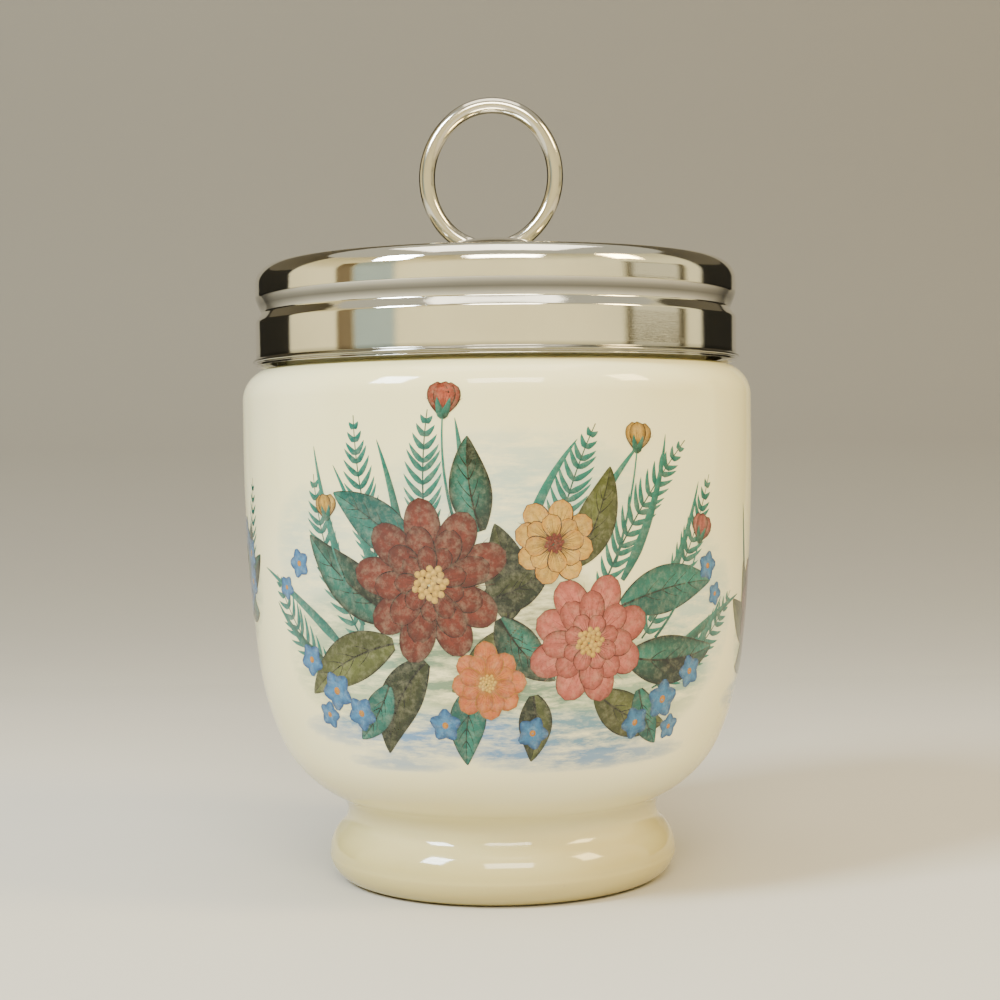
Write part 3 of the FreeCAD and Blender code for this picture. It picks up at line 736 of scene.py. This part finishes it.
    def dot(self, centre, size, tone, light):
        """A small round, lit from its upper left."""
        count = self.DOT_SIDES
        lift = self.BASE_LIFT + self.LAYER * self.layer
        first = len(self.points)
        self.points.append(on_wall(centre[0] - size * 0.2, centre[1] + size * 0.25, lift))
        self.tints.append(light)
        for ring in (0.55, 1.0):
            for step in range(count):
                angle = TAU * step / count
                self.points.append(on_wall(centre[0] + math.cos(angle) * size * ring,
                                           centre[1] + math.sin(angle) * size * ring, lift))
                self.tints.append(blend(light, tone, ring * 0.85 - 0.25 * math.sin(angle - 0.7)))
        for step in range(count):
            ahead = (step + 1) % count
            self.faces.append([first, first + 1 + step, first + 1 + ahead])
            self.faces.append([first + 1 + step, first + 1 + count + step,
                               first + 1 + count + ahead, first + 1 + ahead])

    def bloom(self, centre, size, petals, rows, deep, light, edge, heart):
        """An open flower: rows of petals, the outer row first, and a dotted heart."""
        for row in range(rows):
            length = size * (1 - 0.27 * row)
            turn = self.random.uniform(0, TAU)
            ground = self.layer
            for index in range(petals):
                self.layer = ground + (4 if index == petals - 1 and petals % 2 else 2 * (index % 2))
                angle = turn + TAU * index / petals + self.random.uniform(-0.07, 0.07)
                reach = length * self.random.uniform(0.9, 1.05)
                self.petal(centre, angle, reach, length * 1.75 / petals + 0.3, deep, light, edge)
            self.layer = ground + BLOOM_LAYERS
        for index in range(self.SEEDS):
            self.layer += index % 2
            reach = size * 0.21 * math.sqrt((index + 0.5) / self.SEEDS)
            angle = index * self.GOLDEN_ANGLE
            self.dot((centre[0] + reach * math.cos(angle), centre[1] + reach * math.sin(angle)),
                     size * 0.043, shaded(heart, self.SEED_SHADE), heart)

    def small_flower(self, centre, size, tone, light, heart):
        """A flower of five plain petals round one dot."""
        turn = self.random.uniform(0, TAU)
        for index in range(5):
            angle = turn + TAU * index / 5
            spine = self.curve(centre, angle, size, 0.0, 0.25)
            self.ribbon(spine, lambda t: size * 0.44 * math.sin(math.pi * min(1, 0.12 + 0.8 * t)) + 0.02,
                        lambda t, u: blend(light, tone, 0.25 + 0.8 * t * abs(u) + 0.3 * t))
        self.layer += 1
        self.dot(centre, size * 0.2, shaded(heart, self.HEART_SHADE), heart)
        self.layer -= 1

    def frond(self, start, angle, length, bend, leaflet, tone, light):
        """A fine frond: a stem with pairs of narrow leaflets."""
        spine = self.stem(start, angle, length, bend, 0.13, tone, tone)
        last = len(spine) - 1
        pairs = max(self.FEWEST_PAIRS, int(length / self.LEAFLET_GAP))
        for index in range(1, pairs):
            share = index / pairs
            spot = spine[int(share * last)]
            heading = angle + bend * share
            reach = leaflet * math.sin(math.pi * (0.18 + 0.78 * share))
            for side in (1, -1):
                self.blade(spot, heading + side * 0.95, reach, -side * 0.5, leaflet * 0.115, tone, light)

    def bud(self, start, angle, length, bend, size, tone, light):
        """A closed flower on its stem, between two small leaves."""
        spine = self.stem(start, angle, length, bend, 0.2, TEAL, SEA)
        heading = angle + bend
        for turn in (-0.3, 0.3, 0.0):
            self.petal(spine[-1], heading + turn, size, size * 0.3, tone, light, tone)
            self.layer += 1
        for turn in (-0.45, 0.45):
            self.blade(spine[-1], heading + turn, size * 0.6, turn * -0.6, size * 0.14, DARK_LEAF, SEA)

    def object(self, name):
        """The drawn shapes as one piece, with their tints on its points."""
        piece = new_mesh(name, self.points, self.faces)
        paint_points(piece, "tint", [(*[max(0.0, c) for c in tint], 1.0) for tint in self.tints])
        return piece


# Strokes of the spray on the front. Each starts with its place (along, up) on the wall, its angle
# in radians, its length and its bend. Leaves and buds go on with a width, a deep and a light tone

SPRAY_FRONDS = (
    ((-17, 33), 2.15, 21, -0.5), ((-13, 38), 1.95, 22, -0.35), ((-8, 42), 1.72, 18, -0.3),
    ((6, 40), 1.45, 19, -0.35), ((12, 38), 1.2, 22, -0.45), ((18, 33), 0.85, 22, 0.4),
    ((-21, 28), 2.6, 17, -0.6), ((20, 27), 0.35, 19, 0.5))
SPRAY_BLADES = (
    ((-14, 36), 1.75, 19, 0.35), ((-4, 44), 1.5, 15, 0.25), ((3, 44), 1.35, 14, -0.5),
    ((15, 40), 1.0, 18, 0.45), ((22, 30), 0.6, 18, -0.4), ((-20, 32), 2.4, 18, 0.4),
    ((-17, 35), 2.0, 22, -0.25), ((-11, 40), 1.62, 17, 0.3), ((8, 42), 1.15, 17, -0.35),
    ((19, 35), 0.95, 18, 0.35), ((-23, 30), 2.7, 12, -0.4), ((24, 29), 0.5, 12, 0.5))
SPRAY_LEAVES = (
    ((-12, 36), 2.75, 16, -0.5, 3.4, DARK_LEAF, SEA), ((-13, 33), 3.35, 15, 0.5, 3.3, OLIVE, MOSS),
    ((-9, 31), 3.9, 13, 0.6, 3.1, DARK_LEAF, OLIVE), ((-3, 28), 4.35, 9.5, 0.4, 2.6, TEAL, SEA),
    ((4, 27), 4.9, 8.0, -0.4, 2.4, DARK_LEAF, MOSS), ((12, 27), 5.55, 12, 0.7, 2.9, OLIVE, MOSS),
    ((16, 31), 6.05, 15, 0.5, 3.4, DARK_LEAF, SEA), ((15, 37), 0.35, 15, -0.4, 3.3, TEAL, SEA),
    ((9, 42), 1.0, 12, 0.4, 2.8, OLIVE, MOSS), ((-2, 46), 1.9, 11, -0.4, 2.8, DARK_LEAF, SEA),
    ((-10, 43), 2.35, 13, 0.35, 3.1, TEAL, SEA), ((1, 36), 1.5, 11, 0.4, 3.0, DARK_LEAF, OLIVE),
    ((2, 35), 4.2, 11, -0.6, 3.0, OLIVE, MOSS), ((0, 36), 5.2, 10, 0.5, 2.8, DARK_LEAF, SEA),
    ((-2, 38), 0.2, 9, 0.5, 2.6, DARK_LEAF, OLIVE), ((-14, 28), 4.3, 8.5, -0.5, 2.2, TEAL, SEA),
    ((18, 27), 5.0, 8.0, 0.5, 2.1, TEAL, SEA))
SPRAY_BUDS = (
    ((-5, 47), 1.85, 12, -0.35, 4.2, RUST, CORAL), ((14, 42), 1.25, 13, 0.2, 3.6, UMBER, STRAW),
    ((20, 33), 0.75, 13, 0.5, 3.6, RUST, PINK), ((-18, 38), 2.2, 10, -0.5, 3.2, UMBER, STRAW))

# Small flowers round the spray: place and size

SPRAY_FLOWERS = (
    ((-22, 27), 2.4), ((-26, 30.5), 2.0), ((-18.5, 24.5), 2.1), ((-24, 24), 1.7),
    ((22, 25.5), 2.4), ((26.5, 28.5), 2.0), ((18, 23), 2.0), ((24, 22), 1.6),
    ((-27, 42), 1.8), ((29, 41), 1.8), ((31, 37.5), 1.5), ((-30, 39), 1.5),
    ((4, 22.5), 2.0), ((-7, 23.5), 2.0))

# Layers of the print: fronds lowest, then the blades and the leaves, and the flowers over them

BLADES_LAYER = 8
LEAVES_LAYER = 20
BLOOM_LAYERS = 6

FRONT_SEED = 11
BACK_SEED = 23


def draw_front(drawing):
    """The large spray on the front of the bowl."""
    for order, frond in enumerate(SPRAY_FRONDS):
        drawing.restart(order)
        drawing.frond(*frond, leaflet=3.6, tone=TEAL, light=SEA)
    for order, blade in enumerate(SPRAY_BLADES):
        drawing.restart(BLADES_LAYER + order)
        drawing.blade(*blade, wide=0.8, tone=DARK_LEAF if order % 3 == 1 else TEAL, light=SEA)
    drawing.restart(LEAVES_LAYER)
    for leaf in SPRAY_LEAVES:
        drawing.leaf(*leaf)
    leaves_top = drawing.layer
    for bud in SPRAY_BUDS:
        drawing.restart(leaves_top)
        drawing.bud(*bud)
    drawing.restart(leaves_top + BLOOM_LAYERS)
    drawing.bloom((-8, 40), 9.6, petals=9, rows=3, deep=RUST, light=BRICK, edge=RUST, heart=STRAW)
    blooms_top = drawing.layer
    drawing.restart(leaves_top + BLOOM_LAYERS)
    drawing.bloom((11, 33), 7.9, petals=8, rows=3, deep=BRICK, light=PINK, edge=BRICK, heart=STRAW)
    drawing.restart(blooms_top)
    drawing.bloom((6.5, 44.5), 5.2, petals=8, rows=2, deep=UMBER, light=STRAW, edge=OCHRE, heart=BRICK)
    drawing.restart(blooms_top)
    drawing.bloom((-1.5, 28.5), 4.8, petals=8, rows=2, deep=OCHRE, light=CORAL, edge=BRICK, heart=STRAW)
    for centre, size in SPRAY_FLOWERS:
        drawing.restart(leaves_top)
        drawing.small_flower(centre, size, DEEP_BLUE, SKY, OCHRE)


def draw_sprig(drawing, along, up, lean, size, blue):
    """A smaller sprig for the sides and back, with small blue flowers or one red bloom."""
    upright = math.pi / 2
    drawing.restart(0)
    drawing.frond((along, up), upright + lean, 22 * size, -lean, 3.2 * size, TEAL, SEA)
    drawing.restart(1)
    drawing.frond((along + 2 * size, up + 1), upright - 0.5, 17 * size, 0.4, 2.8 * size, TEAL, SEA)
    drawing.restart(2)
    drawing.blade((along - 1, up + 2), upright + 0.55, 17 * size, -0.4, 0.8 * size, DARK_LEAF, SEA)
    drawing.restart(LEAVES_LAYER)
    for turn in (-1.35, -0.7, 0.75, 1.4, 2.6, -2.5):
        tone, light = (DARK_LEAF, SEA) if turn < 0 else (OLIVE, MOSS)
        length = 10 if abs(turn) < 2 else 7
        drawing.leaf((along, up + 3 * size), upright + turn, length * size, -turn * 0.4, 2.3 * size,
                     tone, light)
    flowers_layer = drawing.layer + BLOOM_LAYERS
    if blue:
        drawing.bud((along, up + 4), upright + 0.35, 12 * size, 0.2, 3.6 * size, DEEP_BLUE, SKY)
        for index in range(7):
            drawing.restart(flowers_layer + 2 * (index % 3))
            angle = 0.4 + index * 0.9
            spot = (along + 4.6 * size * math.cos(angle), up + 6 * size + 4.2 * size * math.sin(angle))
            drawing.small_flower(spot, 2.3 * size, DEEP_BLUE, SKY, OCHRE)
    else:
        drawing.bud((along, up + 4), upright - 0.4, 12 * size, -0.2, 3.6 * size, RUST, CORAL)
        drawing.restart(flowers_layer)
        drawing.bloom((along, up + 6 * size), 5.8 * size, petals=8, rows=3,
                      deep=RUST, light=BRICK, edge=RUST, heart=STRAW)


# Sprigs: place along and up, lean in radians, size, and whether the flowers are blue

SPRIGS = (
    (-46, 35, 0.3, 1.0, True), (47, 28, -0.3, 1.15, False), (-76, 27, -0.25, 1.1, False),
    (76, 32, 0.3, 1.0, True), (103.6, 25, 0.0, 1.0, False))


def make_print():
    """The spray on the front, and the sprigs on the sides and back."""
    front = Drawing(FRONT_SEED)
    draw_front(front)
    back = Drawing(BACK_SEED)
    for sprig in SPRIGS:
        draw_sprig(back, *sprig)
    return front.object("printed_spray"), back.object("printed_sprigs")


# Washes behind the print: place along and up, half width, half height, tone and strength

LEAF_WASH = (0.035, 0.18, 0.14)
SHADE_WASH = (0.035, 0.06, 0.02)
BLUE_WASH = (0.004, 0.15, 0.42)
MIST_WASH = (0.14, 0.36, 0.42)
WASHES = (
    (-16, 31, 15, 9, LEAF_WASH, 0.75), (14, 28, 17, 8, LEAF_WASH, 0.75), (0, 34, 15, 10, SHADE_WASH, 0.8),
    (-3, 22.3, 27, 3.2, BLUE_WASH, 0.95), (12, 19.2, 17, 1.8, BLUE_WASH, 0.8),
    (-14, 18.6, 9, 1.2, BLUE_WASH, 0.6), (2, 50, 17, 8, MIST_WASH, 0.55), (-24, 44, 8, 8, MIST_WASH, 0.45),
    (27, 35, 9, 10, MIST_WASH, 0.55), (-46, 39, 9, 8, LEAF_WASH, 0.6), (47, 32, 9, 8, LEAF_WASH, 0.65),
    (-76, 31, 9, 8, LEAF_WASH, 0.65), (76, 36, 9, 8, LEAF_WASH, 0.6), (103.6, 29, 9, 8, LEAF_WASH, 0.65),
    (-103.6, 29, 9, 8, LEAF_WASH, 0.65), (47, 24, 11, 2.4, BLUE_WASH, 0.7),
    (-76, 23, 11, 2.4, BLUE_WASH, 0.7), (103.6, 21, 11, 2.4, BLUE_WASH, 0.7),
    (-103.6, 21, 11, 2.4, BLUE_WASH, 0.7))
WASH_LOW = 14
WASH_HIGH = 63
WASH_INNERMOST = 20
SKIN_DEPTH = 0.4
UNWASHED = 0.8
STRONGEST_WASH = 0.85


def paint_washes(pot):
    """Soft patches of colour behind the print, kept as a colour on the pot's own points."""
    colours = []
    for vertex in pot.data.vertices:
        x, y, z = (value / MM for value in vertex.co)
        reach = math.hypot(x, y)
        total = 0.0
        tone = [0.0, 0.0, 0.0]
        if reach > WASH_INNERMOST and WASH_LOW < z < WASH_HIGH and reach > wall_radius(z) - SKIN_DEPTH:
            along = math.atan2(x, -y) * BELLY_RADIUS
            for centre, up, wide, high, colour, strength in WASHES:
                near = 1 - ((along - centre) / wide) ** 2 - ((z - up) / high) ** 2
                share = strength * max(0.0, near) ** 0.6
                total += share
                for index in range(3):
                    tone[index] += colour[index] * share
        colours.append((*[c / total if total else UNWASHED for c in tone], min(total, STRONGEST_WASH)))
    paint_points(pot, "wash", colours)


# Pieces

def make_pot():
    """The glazed pot, with the print as thin pieces on its wall."""
    skin = [(across - (GLAZE_INSET if FOOT_GIRTH < up < SHOULDER_HEIGHT - GLAZE_END else 0), up)
            for across, up in OUTER]
    neck = split_long(REST[:NECK_POINTS], NECK_STEP)
    pot = lathe("pot_porcelain", tidy(skin + neck + REST[NECK_POINTS:]), POT_SIDES, thread_swell)
    paint_washes(pot)
    pot.data.materials.append(porcelain())
    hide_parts("pot")
    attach(pot, "pot")
    ink = print_ink()
    for piece in make_print():
        piece.data.materials.append(ink)
        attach(piece, "pot")


def make_cover(steel):
    """The pressed cover with soft bends where the sheet turns, and painted shade in its groove and hem."""
    side = LID_RADIUS
    inner = side - LID_SHEET
    under_seat = SEAT_HEIGHT - LID_SHEET
    groove_low = GROOVE_BOTTOM - GROOVE_BELOW
    groove_high = GROOVE_BOTTOM + GROOVE_ABOVE
    outline = rounded([
        (inner, HEM_HEIGHT + OUTLINE_START, 0), (inner, HEM_HEIGHT, 0.12), (HEM_RADIUS, HEM_HEIGHT, 0.3),
        (HEM_RADIUS, HEM_HEIGHT + HEM_ROLL, 0.3), (side, HEM_HEIGHT + HEM_STEP, 0.15),
        (side, groove_low, 0.45), (side - GROOVE_DEPTH, GROOVE_BOTTOM, 0.3), (side, groove_high, 0.9),
        (side, LID_EDGE, 2.6), (SEAT_RADIUS, SEAT_HEIGHT, 3.0), (LID_HOLE, SEAT_HEIGHT, 0),
        (LID_HOLE, under_seat, 0), (SEAT_RADIUS, under_seat, 3.0), (inner, LID_EDGE - LID_SHEET, 2.1),
        (inner, groove_high, 0.4), (inner - GROOVE_DEPTH, GROOVE_BOTTOM, 0.3), (inner, groove_low, 0.4),
        (inner, HEM_HEIGHT + OUTLINE_FINISH, 0)])
    cover = lathe("polished_lid", split_long(tidy(outline), COVER_STEP), COVER_SIDES)
    # Painted shade and painted dark reflection in the groove and at the hem, kept as a colour on the cover's
    # points
    colours = []
    for vertex in cover.data.vertices:
        up = vertex.co.z / MM
        painted_darkness = max(strength * max(0.0, 1 - abs(up - height) / reach) ** 0.5
                   for height, reach, strength in PAINTED_SHADE_PLACES)
        colours.append((painted_darkness, painted_darkness, painted_darkness, 1.0))
    paint_points(cover, "painted_shade", colours)
    cover.data.materials.append(steel)
    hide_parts("lid_cover")
    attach(cover, "lid")


def make_boss(steel):
    """The domed button with a soft edge, its stem and rivet head."""
    top = SEAT_HEIGHT + BOSS_HEIGHT
    dome = (BOSS_RADIUS ** 2 + BOSS_RISE ** 2) / (2 * BOSS_RISE)
    edge = math.asin(BOSS_RADIUS * DOME_SHARE / dome)
    outline = arc((0, top - dome), dome, math.pi / 2, math.pi / 2 - edge, step=0.5)
    outline += rounded([
        outline[-1] + (0,), (BOSS_RADIUS, SEAT_HEIGHT + BOSS_EDGE, 0.3), (BOSS_RADIUS, SEAT_HEIGHT, 0.05),
        (STEM_RADIUS, SEAT_HEIGHT, 0), (STEM_RADIUS, RIVET_TOP, 0), (RIVET_RADIUS, RIVET_TOP, 0.1),
        (RIVET_RADIUS, RIVET_BOTTOM, 0.4), (0.0, RIVET_BOTTOM, 0)])[1:]
    boss = lathe("ring_button", tidy(outline), BOSS_SIDES)
    boss.data.materials.append(steel)
    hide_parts("ring_boss")
    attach(boss, "lid")


def make_ring(steel):
    """The oval of round wire, whose ends go into the button. Its path is four arcs and a gap."""
    half_wide = RING_WIDTH / 2 - WIRE_RADIUS
    half_long = RING_LENGTH / 2 - WIRE_RADIUS
    offset = (half_long - half_wide) / (2 - math.sqrt(2))
    eighth = math.pi / 4
    end = half_long - offset
    side = half_wide + offset
    gap = math.acos(WIRE_END / end)
    path = arc((0, -offset), end, -gap, -eighth)
    path += arc((-offset, 0), side, -eighth, eighth)
    path += arc((0, offset), end, eighth, 3 * eighth)
    path += arc((offset, 0), side, 3 * eighth, 5 * eighth)
    path += arc((0, -offset), end, 5 * eighth, gap + math.pi)
    path = tidy(path, least=0.05)
    turn = Matrix.Rotation(RING_LEAN, 4, "Y")
    middle = Vector((RING_ASIDE, 0, SEAT_HEIGHT + RING_LIFT + RING_LENGTH / 2))
    points = []
    faces = []
    sides = WIRE_SIDES
    for index, (across, up) in enumerate(path):
        before = Vector(path[max(index - 1, 0)])
        after = Vector(path[min(index + 1, len(path) - 1)])
        run = (after - before).normalized()
        for step in range(sides):
            angle = TAU * step / sides
            reach = WIRE_RADIUS * math.cos(angle)
            local = Vector((across + run.y * reach, WIRE_RADIUS * math.sin(angle), up - run.x * reach))
            points.append(tuple(middle + turn @ local))
    for low in range(0, sides * (len(path) - 1), sides):
        high = low + sides
        for step in range(sides):
            ahead = (step + 1) % sides
            faces.append([low + step, low + ahead, high + ahead, high + step])
    faces.append(list(range(sides))[::-1])
    faces.append([len(points) - sides + step for step in range(sides)])
    ring = new_mesh("wire_ring", points, faces)
    ring.data.materials.append(steel)
    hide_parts("lift_ring")
    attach(ring, "lid")


def finish_cad_nodes(inner_steel):
    """Materials for the nodes whose own shapes are shown."""
    seal = rubber()
    for name, material in (("lid_liner", inner_steel), ("rivet_washer", inner_steel), ("seal_ring", seal)):
        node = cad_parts[name]
        node.data.materials.clear()
        node.data.materials.append(material)


# Stage, lights and camera

def wall(name, begin, finish, reach, high, tone, low=0.0):
    """An upright curved screen round the object, between two angles in degrees from the camera."""
    count = max(2, int(abs(finish - begin) / SCREEN_STEP))
    points = []
    for index in range(count + 1):
        angle = math.radians(begin + (finish - begin) * index / count)
        spot = (reach * math.sin(angle), -reach * math.cos(angle))
        points.extend([(*spot, low), (*spot, high)])
    faces = [[2 * i, 2 * i + 2, 2 * i + 3, 2 * i + 1] for i in range(count)]
    screen = new_mesh(name, points, faces)
    shader = Shader(name)
    shader.set(Roughness=1.0, Base_Color=(*tone, 1.0))
    screen.data.materials.append(shader.material)


CREAM = (0.88, 0.81, 0.57)
DARK = (0.012, 0.011, 0.009)
BROWN = (0.10, 0.088, 0.068)
COOL_GREY = (0.34, 0.42, 0.44)
EARTH = (0.16, 0.12, 0.07)
FRAME_BROWN = (0.10, 0.085, 0.06)
PANEL_STRAW = (0.62, 0.59, 0.47)
PAPER = (0.50, 0.475, 0.42)
PALE_PAPER = (0.54, 0.515, 0.46)
# Painted shade: the tone the paper darkens to towards the back
PAINTED_FAR_SHADE = (0.155, 0.145, 0.125)
SCREEN_STEP = 5
FLOOR_HALF = 1600
BACKDROP_HALF = 270
BACKDROP_BENDS = 3

# The backdrop's rise from the floor behind the object: places (y, z) in millimetres

BACKDROP_RISE = ((140, -1), (250, 0), (360, 20), (430, 80), (460, 150), (460, 300))


def make_backdrop():
    """The backdrop rises from the floor in one soft bend."""
    points = [(x, y, z) for y, z in BACKDROP_RISE for x in (-BACKDROP_HALF, BACKDROP_HALF)]
    faces = [[2 * i, 2 * i + 1, 2 * i + 3, 2 * i + 2] for i in range(len(BACKDROP_RISE) - 1)]
    backdrop = new_mesh("studio_backdrop", points, faces)
    bend = backdrop.modifiers.new("bend", "SUBSURF")
    bend.levels = BACKDROP_BENDS
    bend.render_levels = BACKDROP_BENDS
    return backdrop


def make_stage():
    """A pale floor and backdrop, painted darker towards the back as painted shade, and screens for the metal
    to mirror: cream before it, dark behind.
    """
    backdrop = make_backdrop()
    half = FLOOR_HALF
    corners = [(-half, -half, 0), (half, -half, 0), (half, half, 0), (-half, half, 0)]
    floor = new_mesh("studio_floor", corners, [[0, 1, 2, 3]], smooth=False)
    shader = Shader("pale_paper")
    paper = shader.mix(shader.spread(shader.noise(6.0), (0.3, 0.7)), PAPER, PALE_PAPER)
    # Painted shade: the floor darkens towards the back, and the backdrop is darker still
    paper = shader.mix(shader.spread(shader.coordinate("Y"), (0.06, 0.40)), paper, PAINTED_FAR_SHADE)
    shader.colour(paper)
    shader.set(Roughness=0.85)
    for piece in (floor, backdrop):
        piece.data.materials.append(shader.material)
    wall("cream_screen", -110, 110, reach=1000, high=1100, tone=CREAM)
    wall("dark_screen", 111, 249, reach=1020, high=420, tone=DARK)
    wall("brown_screen", 111, 249, reach=1020, high=1100, tone=BROWN, low=420)
    wall("blue_panel", -67, -46, reach=980, high=520, tone=COOL_GREY, low=40)
    wall("brown_strip", -77, -68, reach=985, high=520, tone=EARTH, low=40)
    wall("dark_frame", 61, 98, reach=985, high=330, tone=FRAME_BROWN, low=100)
    wall("framed_panel", 65, 93, reach=970, high=300, tone=PANEL_STRAW, low=125)


# Lights and camera, in metres, watts and radians

LIT_PLACE = (0, 0, 0.05)
WORLD_COLOUR = (1.0, 0.94, 0.75, 1)
WORLD_STRENGTH = 0.62
WINDOW_COLOUR = (0.84, 0.94, 1.0)
WARM_COLOUR = (1.0, 0.92, 0.74)
AMBER_COLOUR = (1.0, 0.76, 0.36)
ROOM_COLOUR = (1.0, 0.93, 0.80)

FOCAL_PIXELS = 1856.0
FRAME_PIXELS = 1000.0
SENSOR_WIDTH = 36.0
NEAREST_SEEN = 0.01
CAMERA_PLACE = (0.00024, -0.2431, 0.05525)
CAMERA_PITCH = 0.0272
CAMERA_ROLL = -0.0133


def area_light(name, place, size, power, colour):
    """A rectangular light that faces the object."""
    light = bpy.data.lights.new(name, "AREA")
    light.shape = "RECTANGLE"
    light.size, light.size_y = size
    light.energy = power
    light.color = colour
    lamp = bpy.data.objects.new(name, light)
    lamp.location = place
    lamp.rotation_euler = (Vector(LIT_PLACE) - Vector(place)).to_track_quat("-Z", "Y").to_euler()
    bpy.context.scene.collection.objects.link(lamp)


def make_lights():
    """A soft warm room, a cool window at the left and weaker lights round the object."""
    world = bpy.data.worlds.new("studio")
    world.use_nodes = True
    background = world.node_tree.nodes["Background"]
    background.inputs["Color"].default_value = WORLD_COLOUR
    background.inputs["Strength"].default_value = WORLD_STRENGTH
    bpy.context.scene.world = world
    area_light("window", (-0.55, -0.42, 0.62), size=(0.22, 0.30), power=13.0, colour=WINDOW_COLOUR)
    area_light("front", (0.06, -0.78, 0.62), size=(0.5, 0.25), power=8.0, colour=WARM_COLOUR)
    area_light("right", (0.62, -0.26, 0.55), size=(0.20, 0.25), power=5.0, colour=AMBER_COLOUR)
    area_light("top", (0.0, 0.0, 0.85), size=(0.6, 0.6), power=4.0, colour=ROOM_COLOUR)


def make_camera():
    """The camera of the photograph, as far as it could be worked out."""
    camera = bpy.data.cameras.new("camera")
    camera.sensor_fit = "HORIZONTAL"
    camera.sensor_width = SENSOR_WIDTH
    camera.lens = SENSOR_WIDTH * FOCAL_PIXELS / FRAME_PIXELS
    camera.clip_start = NEAREST_SEEN
    rig = bpy.data.objects.new("camera", camera)
    tilt = Matrix.Rotation(math.pi / 2 - CAMERA_PITCH, 4, "X")
    rig.matrix_world = Matrix.Translation(CAMERA_PLACE) @ tilt @ Matrix.Rotation(CAMERA_ROLL, 4, "Z")
    bpy.context.scene.collection.objects.link(rig)
    bpy.context.scene.camera = rig


make_camera()
make_lights()
make_stage()
make_pot()
lid_steel = polished_steel("polished_steel", LID_TONE, rough=0.05, brushed=TURNED)
make_cover(lid_steel)
make_boss(lid_steel)
make_ring(polished_steel("ring_wire", WIRE_TONE, rough=0.12, brushed=UNBRUSHED))
finish_cad_nodes(polished_steel("liner_steel", LINER_TONE, rough=0.22, brushed=TURNED))
